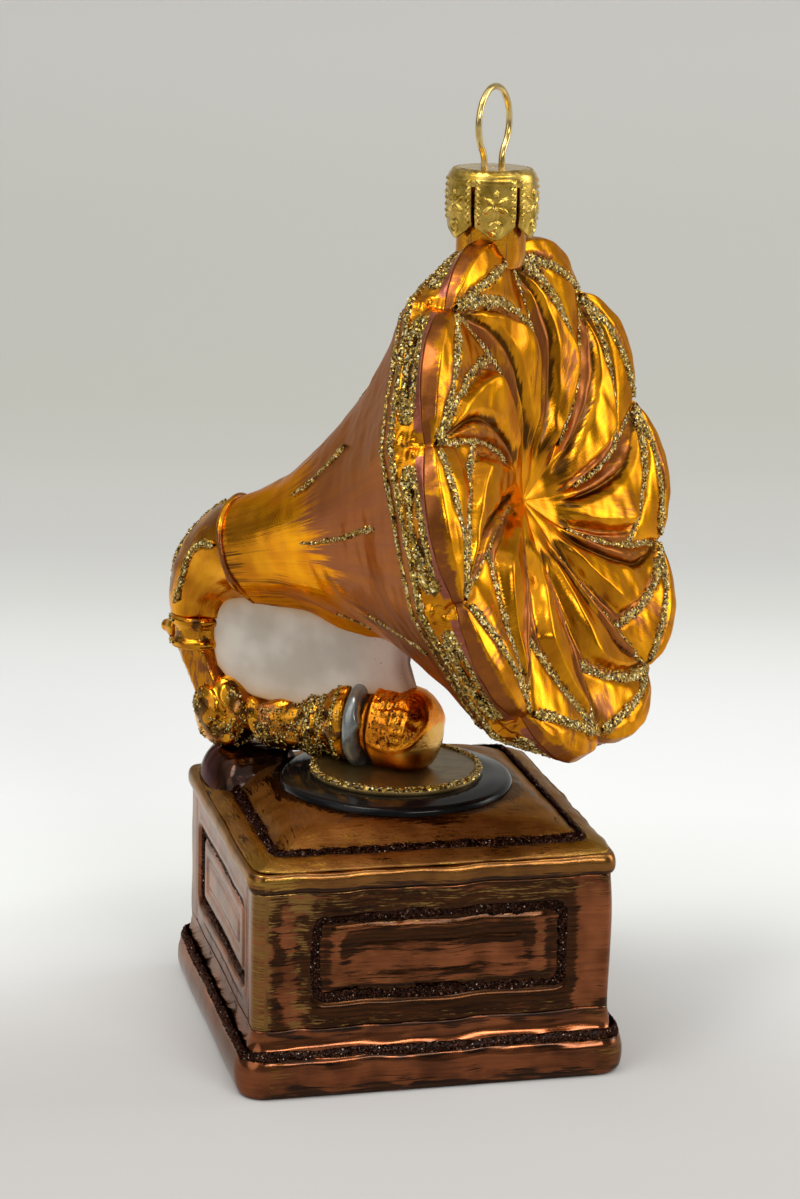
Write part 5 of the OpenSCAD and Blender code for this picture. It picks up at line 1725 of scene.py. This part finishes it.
        # Painted shade: the dark coat lies in the creases along the leaves' edges and in the grooves beside the brown
        # strips, and as a dark line past the rim.
        shade = np.exp(-np.clip(deep, 0, 9) / 1.1) * (1 - ease((w - self.strip(p)) * self.arc(p) / 3.0)) * (deep > -0.3)
        dusk = ((0.5 * swell(deep, 0.4) + 0.75 * shade) * fade + 0.6 * swell(past_rim, 0.02)
                + 0.5 * swell(p - 0.24, 0.06) * (w > 0.2))
        stroke = self.strokes(w, k, 14, p * 3.4, self.swirl(p))
        q, w, k = self.columns(np.linspace(0.0, 1.0, 15)[1:], n)
        roll = self.roll_point(q, w, k)
        roll = puffed(roll, 0.06 * wander(roll, 4.0, 95))
        roll_rose = (0.35 + 0.65 * ease((q - 0.35) / 0.4)) * (0.7 + 0.3 * ease(wander(roll, 12.0, 96) + 0.5))
        roll_stroke = self.strokes(w, k, 14, 3.4 + q)
        lip = PLANE.on_axis(self.edge_r(w[:1]) - self.glass_t, self.turn(w[:1], k[:1]), self.roll_z(w[:1]))
        p, w, k = self.columns(np.array([1.0, 0.9, 0.78, 0.6, 0.4, 0.2, 0.05]), n)
        inner = PLANE.on_axis(self.notch_r * 0.985 * p, self.turn(w, k) + self.swirl(p), self.dish(p) - self.glass_t)
        rows = np.vstack([grid, roll, lip, inner])
        bare = np.zeros((len(lip) + len(inner), p.shape[1]))
        marks = {"rose": np.vstack([rose, roll_rose, bare]), "dusk": np.vstack([dusk, 0 * q, bare]),
                 "stroke": np.vstack([stroke, roll_stroke, xyz(bare, bare, bare)])}
        glass("face_glass", rows, marks, PETAL, "bell_face")

    # The band

    def oval(self, w: Array, q: Array) -> Array:
        """How far inside a panel's oval a point lies: 1 in its middle and 0 on its edge."""
        return 1 - ((w - 0.5) / 0.36) ** 2 - ((q - 0.46) / 0.36) ** 2

    def band_point(self, q: Array, w: Array, k: Number, out: float = 0.0) -> Array:
        """A point of the band, from the rim at q = 0 to the back edge at q = 1."""
        r = mix(self.edge_r(w), self.bell_r * self.side_share(w), q) - 0.62 * ease(self.oval(w, q) / 0.45) + out
        return PLANE.on_axis(r, self.turn(w, k), mix(self.roll_z(w), -self.band_d, q))

    def band(self) -> None:
        """The band between the rim and the horn, with a dimple in each panel."""
        q, w, k = self.columns(np.linspace(0, 1, 30), 52)
        grid = self.band_point(q, w, k)
        corner = swell(np.minimum(w, 1 - w), 0.085)
        wrinkle = 0.30 * wander(grid, 1.9, 97) * corner * np.sin(math.pi * q) + 0.05 * wander(grid, 4.0, 98)
        grid = puffed(grid, wrinkle * ease(q / 0.08) * ease((1 - q) / 0.08))
        rose = (1 - ease((q - 0.18) / 0.14)) * (1 - 0.9 * ease((corner - 0.25) / 0.5)) + 0.25 * swell(q - 1, 0.08)
        dusk = (0.75 * ease(self.oval(w, q) / 0.5) * ease((wander(grid, 5.0, 99) + 0.4) / 0.8)
                + 0.4 * corner * ease((wander(grid, 2.2, 100)) / 0.5))
        stroke = self.strokes(w, k, 33, q * 1.5)
        q, w, k = q[::-7], w[::-7], k[::-7]
        middle = PLANE.on_axis(0, 0, mix(self.roll_z(w), -self.band_d, q))
        back = middle + (self.band_point(q, w, k) - middle) * (1 - (self.glass_t + 0.5) / 32.0)
        bare = np.zeros(back.shape[:2])
        marks = {"rose": np.vstack([rose, bare]), "dusk": np.vstack([dusk, bare]), "stroke": np.vstack([stroke, back])}
        glass("band_glass", np.vstack([grid, back]), marks, BAND, "bell_band", ring=True)

    # Glitter

    def trail(self, point: Callable[..., Array], *at: Number, lean: Number = 0.0, **looks: object) -> Trail:
        """A line of grains on a surface, through the places that at gives, that leans off the outward direction."""
        spots = point(*at)
        return Trail(spots, unit(point(*at, out=1.0) - spots) - lean, **looks)

    def glitter(self) -> None:
        """The lines on the face, the rim, the band, its back edge and the horn."""
        rng = np.random.default_rng(7)
        petals, rims, ovals, flares = [], [], [], []
        thick = {"width": 1.75, "height": 0.5}
        a = np.linspace(0, TURN, 73)[:-1]
        for k in range(self.lobes):
            p = np.linspace(0.975, rng.uniform(0.24, 0.34), 60)
            petals.append(self.trail(self.face_point, p, 0.0, k, taper=(1.25, 0.5), **thick))
            w = np.linspace(0.03, 1.0, 60)
            petals.append(self.trail(self.face_point, self.edge_p(w), np.clip(w, 0, 0.999), k, taper=(1.15, 0.85),
                                     **thick))
            w = np.linspace(0.04, 0.96, 60)
            rims.append(self.trail(self.face_point, self.rim_p(w) - 0.004, w, k, width=1.5, height=0.48))
            w, q = 0.5 + 0.345 * np.cos(a), 0.46 + 0.29 * np.sin(a)
            ovals.append(self.trail(self.band_point, q, w, k, width=1.55, height=0.42, closed=True))
            t = np.linspace(*((0.58, 0.88), (0.36, 0.82), (0.33, 0.63))[k % 3], 40)
            turn = self.turn(0.5, k) + 1.5 * np.sin(t * 9 + k)
            flares.append(self.trail(self.flare_point, t, turn, width=0.85, height=0.32, taper=(0.6, 1.0)))
        turn = np.arange(360.0)
        k, w = np.divmod((turn - self.notch_angle) / (360 / self.lobes), 1.0)
        ahead = 0.8 * PLANE.at(PLANE.way[0], 0, PLANE.way[1])
        edges = [self.trail(self.band_point, np.full(360, 0.92), w, k, width=0.95, height=0.36, closed=True),
                 self.trail(self.flare_point, np.full(360, 0.955), turn, lean=ahead, width=0.8, height=0.32,
                            closed=True)]
        for name, trails in (("petal", petals), ("rim", rims), ("band", ovals), ("edge", edges), ("horn", flares)):
            make_lines(name + "_glitter", trails, GOLD_GRAINS)

    def build(self) -> None:
        """Builds horn, face, band and their glitter."""
        self.horn()
        self.face()
        self.band()
        self.glitter()


# The web


@dataclass
class Web:
    """The flat hollow web between the horn and the tone arm, milky white with amber borders.

    upper and lower are its edges, as points of the horn's plane from the riser to the free end.
    """

    thick: float = 3.4
    nick: float = 1.5
    upper: tuple[tuple[float, float], ...] = (
        (-26.4, 49.0), (-26.3, 51.3), (-25.6, 52.9), (-24.2, 54.2), (-21.8, 54.9), (-19.6, 54.9), (-17.1, 54.6),
        (-14.7, 54.4), (-12.2, 54.2), (-10.3, 53.8), (-8.4, 53.1), (-6.4, 52.4), (-3.6, 51.9), (-0.7, 52.1),
        (1.2, 52.7), (2.3, 52.9))
    lower: tuple[tuple[float, float], ...] = (
        (-26.3, 47.2), (-25.7, 45.0), (-24.2, 43.4), (-22.4, 42.4), (-20.5, 41.6), (-17.0, 41.2), (-14.5, 41.2),
        (-12.1, 41.4), (-10.1, 42.0), (-8.2, 43.0), (-6.3, 43.6), (-4.0, 44.2), (-1.0, 44.6), (1.0, 44.8), (3.1, 44.6))

    def edge(self, spots: Sequence[tuple[float, float]], count: int) -> Array:
        """An edge with its points evenly spaced."""
        line = resample(np.array([(*p, 0.0) for p in spots]), 0.2)[0][:, :2]
        return line[np.round(np.linspace(0, len(line) - 1, count)).astype(int), None]

    def build(self) -> None:
        """Builds the web as one closed form."""
        count, high = 110, 56
        lam, mu = table(np.linspace(0, 1, count), np.linspace(0, 1, high))
        flat = self.edge(self.lower, count) * (1 - mu[..., None]) + self.edge(self.upper, count) * mu[..., None]
        flat[..., 0] -= self.nick * 4 * mu * (1 - mu) * lam ** 6
        half = self.thick / 2 * (1 - 0.12 * np.sin(math.pi * mu) * (1 - lam ** 4))
        half = half * np.sqrt(np.clip(1 - np.clip((lam - 0.93) / 0.07, 0, 1) ** 2, 0.0004, 1))
        spots = [PLANE.at(flat[..., 0], side * half, flat[..., 1]) for side in (-1, 1)]
        sway = 0.10 * wander(spots[0], 8.0, 111) * np.clip(half, 0, 1)
        spots = [s + PLANE.across * (sign * sway)[..., None] for s, sign in zip(spots, (-1, 1))]
        grid = np.concatenate([spots[0], spots[1][:, ::-1]], axis=1)
        marks = {"spray": np.clip(0.9 * np.exp(-mu / 0.10) + np.exp(-(1 - mu) / 0.08) * (1 - ease((lam - 0.6) / 0.2))
                                  + np.exp(-lam / 0.045), 0, 1),
                 "blush": np.clip(ease((lam - 0.68) / 0.24) * (0.95 - 0.40 * mu) + 0.05, 0, 1),
                 "speck": ease((lam - 0.72) / 0.2) * (1 - 0.4 * mu)}
        marks = {name: np.concatenate([m, m[:, ::-1]], axis=1) for name, m in marks.items()}
        glass("web_glass", grid, marks, FROST, "web", flip=True, **CLOSED)


# Neck, cap and hanger


@dataclass
class Crown:
    """The glass neck, the stamped cap and the wire hanger."""

    bore_r: float = 3.2
    neck_r: float = 4.2
    lip_r: float = 4.9
    cap_r: float = 5.8
    cap_t: float = 0.3
    cap_h: float = 8.3
    cap_top: float = 112.89
    tabs: int = 6
    wire_r: float = 0.4
    loop_r: float = 4.4
    bend_r: float = 3.0
    leg_up: float = 0.4
    leg_out: float = 2.5
    leg_l: float = 8.6
    loop_z: float = 118.24

    def __post_init__(self) -> None:
        """Sets the neck's upright frame, level with the case's underside."""
        self.place = PLANE.upright(PLANE.neck[0], 0)

    def neck(self) -> None:
        """The glass neck: a flared root, a straight wall, a rolled lip and the bore."""
        top, r, lip, bore = PLANE.neck[1], self.neck_r, self.lip_r, self.bore_r
        low = top - PLANE.neck_h - 1.6
        outer = rounded([(r - 0.3, low, 0), (r + 0.1, low + 1.4, 0.6), (r + 0.1, low + 2.9, 1.2), (r, top - 2.6, 0.6),
                         (lip, top - 1.5, 0.5), (lip, top - 0.25, 0.25), (lip - 0.4, top, 0.2)])
        inner = np.array([[bore + 0.2, top], [bore, top - 0.5], [bore, low + 0.6], [bore + 0.4, low]])
        grid = lathe(np.vstack([outer, inner]), 120, self.place)
        marks = {"stroke": spun(circle(120), 6, grid[..., 2] * 0.1), "rose": 0.35 + 0.25 * wander(grid, 6.0, 121)}
        glass("neck_glass", grid, marks, AMBER_ROSE, "neck", ring=True)

    def star(self, x: Array, y: Array, size: float) -> Array:
        """Height of a six-armed star with pointed arms, at x and y from its middle."""
        r, a = np.hypot(x, y), np.arctan2(x, y)
        arm = np.abs(np.mod(a + math.pi / 6, math.pi / 3) - math.pi / 6)
        along = r * np.cos(arm)
        blade = 0.15 * size * np.clip(np.sin(math.pi * np.clip(along / size, 0, 1)), 0, 1) ** 0.7 - r * np.sin(arm)
        return ease((blade + 0.12) / 0.2) * (along < size) * ease((along - 0.16) / 0.15)

    def relief(self, x: Array, y: Array, half: float, tall: float) -> Array:
        """Stamped pattern of a tab: a star, a ring with a dot under it, and dots along the edges."""
        r, pitch = np.hypot(x, y + 0.80 * tall), 0.78
        rise = 0.24 * self.star(x, y + 0.42 * tall, 1.75) + 0.18 * swell(r - 0.72, 0.16) + 0.2 * swell(r, 0.26)
        dots = 0.2 * swell(np.mod(y, pitch) - pitch / 2, 0.2) * (y > -0.78 * tall)
        return rise + dots * (swell(x + (half - 0.45), 0.2) + swell(x - (half - 0.45), 0.2))

    def skirt(self) -> list[Skin]:
        """The six pointed tabs, each an embossed sheet with two sides."""
        half, tall = self.cap_r * math.pi / self.tabs - 0.28, self.cap_h - 1.0
        v, x = table(np.linspace(0, 1, 52), np.linspace(-half, half, 44))
        y = -v * (tall - 1.7 * np.clip(np.abs(x) / half, 0, 1) ** 1.3)
        fade = np.clip(np.minimum((half - np.abs(x)) / 0.25, np.minimum(v / 0.04, (1 - v) / 0.05)), 0, 1)
        curl = 0.20 * ease((v - 0.75) / 0.25) - 0.10 * ease(v / 0.3)
        r = self.cap_r - 0.30 + 1.3 * self.relief(x, y, half, tall) * fade * 0.9 - curl * 0.9
        skins = []
        for k in range(self.tabs):
            turn = x / self.cap_r + 2 * math.pi * k / self.tabs
            outer, inner = (spun(turn, reach, self.cap_top - 1.05 + y) for reach in (r, r - self.cap_t * 0.9))
            skins.append(Skin(self.place.points(np.concatenate([outer, inner[:, ::-1]], axis=1)[::-1]), **CLOSED))
        return skins

    def crown(self) -> Skin:
        """The cap's top: a round shoulder with dots, a flat middle, and the sheet's inner side."""
        r, t, under = self.cap_r, self.cap_top, self.cap_top - self.cap_t
        outer = rounded([(r - 0.28, t - 1.9, 0), (r - 0.28, t - 1.1, 0.4), (r - 0.75, t - 0.12, 0.5), (4.4, t, 0.3),
                         (0.3, t, 0)], 8)
        grid = lathe(finely(outer, 0.16), 216, self.place)
        flat = grid - self.place.origin
        radius = np.hypot(flat[..., 0], flat[..., 1])
        turn = np.arctan2(flat[..., 1], flat[..., 0]) + math.radians(40)
        dots = swell(radius - 4.75, 0.22) * swell(np.mod(turn * 32 / (2 * math.pi), 1) - 0.5, 0.24)
        grid[..., 2] += 0.13 * (dots - 1) * (radius < 5.3) * ease((5.3 - radius) / 0.2) * (radius > 4.2)
        inner = np.array([[0.3, under], [4.3, under], [r - 0.95, under - 0.2], [r - 0.58, t - 1.2],
                          [r - 0.58, t - 1.9]])
        return Skin(np.vstack([grid, lathe(inner, 216, self.place)]), ring=True)

    def hanger(self) -> Skin:
        """The bent wire: a round loop, two bends and two straight legs."""
        reach = self.leg_out + self.bend_r
        rise = math.sqrt((self.loop_r + self.bend_r) ** 2 - reach ** 2)
        turn = math.atan2(reach, rise)
        loop = np.linspace(-math.pi / 2 + turn, 3 * math.pi / 2 - turn, 150)
        ring = np.stack([self.loop_r * np.cos(loop), self.loop_r * np.sin(loop)], 1)
        bend = np.linspace(math.pi / 2 + turn, math.pi, 26)[1:]
        right = np.stack([reach + self.bend_r * np.cos(bend), -rise + self.bend_r * np.sin(bend)], 1)
        leg = np.stack([np.full(30, self.leg_out), -rise - np.linspace(0, self.leg_up + self.leg_l, 31)[1:]], 1)
        side = np.vstack([right, leg])
        flat = np.vstack([side[::-1], ring, side * [-1, 1]])
        path = resample(PLANE.at(PLANE.neck[0], flat[:, 0], self.loop_z + flat[:, 1]), 0.16)[0]
        return tube(path, self.wire_r * (1 + 0.012 * wander(path, 2.5, 131)), 16)

    def build(self) -> None:
        """Builds neck, cap and hanger."""
        self.neck()
        dress(make_piece("cap_sheet", [self.crown(), *self.skirt()]), GILT_SHEET, Body.CAP, "cap")
        dress(make_piece("hanger_wire", [self.hanger()]), GILT_WIRE, Body.HANGER, "hanger")


def tube(path: Array, radius: Array, sides: int) -> Skin:
    """A round rod along an open path, closed at both ends.

    Args:
        path: Its middle line.
        radius: Its radius at each point.
        sides: How many points go round it.

    Returns:
        Its surface.
    """
    way = unit(np.gradient(path, axis=0))
    side = np.empty_like(path)
    side[0] = unit(np.cross(way[0], [0.31, 0.87, 0.23]))
    for k in range(1, len(path)):
        side[k] = unit(side[k - 1] - way[k] * np.dot(side[k - 1], way[k]))
    turn = circle(sides)[:, None]
    spoke = side[:, None] * np.cos(turn) + np.cross(way, side)[:, None] * np.sin(turn)
    return Skin(path[:, None] + spoke * radius[:, None, None], **CLOSED)


# The stage


@dataclass
class Stage:
    """A pale sweep of paper, soft light and the camera.

    stops are the paper's levels, by their share of the way from its front to its back; they paint light and shade on
    it: darker in front, brightest just behind the ornament, darker where the floor meets the curve and lighter up the
    sweep.
    """

    look_at: tuple[float, float, float] = (0.07, 0.0, 56.92)
    azimuth: float = -13.668
    elevation: float = 14.356
    roll: float = 1.171
    distance: float = 403.7
    lens: float = 94.8
    stops: tuple[tuple[float, Colour], ...] = (
        (0.0, (0.50, 0.485, 0.475)), (0.12, (0.555, 0.545, 0.535)), (0.133, (0.61, 0.605, 0.595)),
        (0.15, (0.74, 0.745, 0.735)), (0.173, (0.825, 0.848, 0.836)), (0.207, (0.845, 0.863, 0.865)),
        (0.25, (0.785, 0.797, 0.803)), (0.271, (0.738, 0.75, 0.746)), (0.30, (0.64, 0.645, 0.63)),
        (0.33, (0.568, 0.572, 0.56)), (0.40, (0.545, 0.542, 0.51)), (0.45, (0.543, 0.541, 0.50)),
        (0.58, (0.588, 0.586, 0.555)), (0.66, (0.637, 0.637, 0.614)), (1.0, (0.70, 0.70, 0.68)))

    def camera(self) -> None:
        """The camera, at the photograph's viewing angle."""
        az, el, roll = (math.radians(a) for a in (self.azimuth, self.elevation, self.roll))
        back = Vector((math.sin(az) * math.cos(el), -math.cos(az) * math.cos(el), math.sin(el)))
        side = (-back).cross(Vector((0, 0, 1))).normalized()
        up = side.cross(-back)
        x = side * math.cos(roll) + up * math.sin(roll)
        y = up * math.cos(roll) - side * math.sin(roll)
        data = bpy.data.cameras.new("camera")
        data.sensor_fit, data.sensor_height, data.lens = "VERTICAL", 36.0, self.lens
        data.clip_start, data.clip_end = 0.01, 20.0
        made = bpy.data.objects.new("camera", data)
        made.matrix_world = Matrix((x, y, back)).transposed().to_4x4()
        made.matrix_world.translation = (Vector(self.look_at) + back * self.distance) * MM
        bpy.context.scene.collection.objects.link(made)
        bpy.context.scene.camera = made

    def sweep(self) -> None:
        """The paper: a floor that curves up behind the ornament."""
        bend = np.radians(np.linspace(0, 90, 24))[1:]
        floor = np.stack([np.linspace(-1400, 420, 40), np.zeros(40)], 1)
        curve = np.stack([420 + 500 * np.sin(bend), 500 * (1 - np.cos(bend))], 1)
        line = np.vstack([floor, curve, [[920, 2200]]])
        grid = xyz(np.linspace(-1600, 1600, 33), line[:, :1], line[:, 1:])
        c, s = math.cos(math.radians(self.azimuth)), math.sin(math.radians(self.azimuth))
        run = np.broadcast_to(line[:, :1] + 0.6 * line[:, 1:], grid.shape[:2]) / 1000
        paper = make_piece("paper", [Skin(grid @ np.array([[c, s, 0], [-s, c, 0], [0, 0, 1]]), around=False,
                                          marks={"run": run})])
        paper.data.materials.append(self.paper())

    def paper(self) -> bpy.types.Material:
        """Matte paper whose colour paints light and shade: darker in front, brightest just behind the ornament, darker
        where the floor meets the curve and a warm grey higher up.
        """
        made = bpy.data.materials.new("pale paper")
        made.use_nodes = True
        s = Sketch(made.node_tree)
        way = s.node("MapRange", {"Value": s.mark("run"), "From Min": -0.2, "From Max": 1.2}).outputs[0]
        ramp = s.node("ValToRGB", {0: way})
        band = ramp.color_ramp.elements
        while len(band) < len(self.stops):
            band.new(0.5)
        for element, (at, colour) in zip(band, self.stops):
            element.position, element.color = at, (*colour, 1.0)
        shader = s.node("BsdfDiffuse", {"Color": ramp.outputs[0], "Roughness": 0.5})
        s.node("OutputMaterial", {"Surface": shader.outputs[0]})
        return made

    def softbox(self, name: str, place: tuple[float, float, float], size: tuple[float, float], power: float,
                colour: Colour = (1.0, 0.985, 0.96)) -> None:
        """A large soft lamp that faces the ornament.

        Args:
            name: The lamp's name.
            place: Where it stands, in metres.
            size: Its width and height, in metres.
            power: Its power, in watts.
            colour: Its light.
        """
        data = bpy.data.lights.new(name, "AREA")
        data.shape, data.energy, data.color = "RECTANGLE", power, colour
        data.size, data.size_y = size
        made = bpy.data.objects.new(name, data)
        made.location = place
        made.rotation_euler = (Vector((0, 0, 0.06)) - Vector(place)).to_track_quat("-Z", "Y").to_euler()
        bpy.context.scene.collection.objects.link(made)

    def room(self) -> None:
        """The room's own light: a pale ceiling, a window at each side, and dim walls."""
        world = bpy.data.worlds.new("room")
        world.use_nodes = True
        bpy.context.scene.world = world
        s = Sketch(world.node_tree)
        ray = s.node("TexCoord").outputs["Generated"]
        level: object = 0.22
        for way, low, high, power in (((0.0, 0.0, 1.0), 0.35, 0.95, 0.72), ((0.93, 0.20, 0.30), 0.80, 0.95, 1.45),
                                      ((-0.78, -0.42, 0.46), 0.88, 0.96, 1.1)):
            values = {0: ray, 1: tuple(Vector(way).normalized())}
            toward = s.node("VectorMath", values, operation="DOT_PRODUCT").outputs["Value"]
            level = s.value("ADD", level, s.times(s.step(toward, low, high), power))
        shade = s.node("Background", {"Color": (1.0, 0.99, 0.97, 1.0), "Strength": level})
        s.node("OutputWorld", {"Surface": shade.outputs[0]})

    def build(self) -> None:
        """Sets up paper, lamps, room and camera."""
        self.camera()
        self.sweep()
        self.softbox("key softbox", (-0.35, -0.10, 0.85), (0.30, 0.30), 2.05)
        self.softbox("strip light", (0.22, -0.40, 0.85), (0.42, 0.09), 1.1)
        self.softbox("right softbox", (0.80, -0.05, 0.35), (0.22, 0.5), 1.0, (1.0, 0.99, 0.97))
        self.softbox("front softbox", (0.28, -1.05, 0.53), (0.62, 0.15), 2.8)
        self.room()
        bpy.context.scene.view_settings.view_transform = "Standard"


def main() -> None:
    """Builds the ornament and its stage."""
    logging.basicConfig(level=logging.INFO, format="%(message)s")
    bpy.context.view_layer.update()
    Stage().build()
    for assembly in (Case(), Lid(), ToneArm(), Elbow(), Bell(), Web(), Crown()):
        assembly.build()


if __name__ == "__main__":
    main()
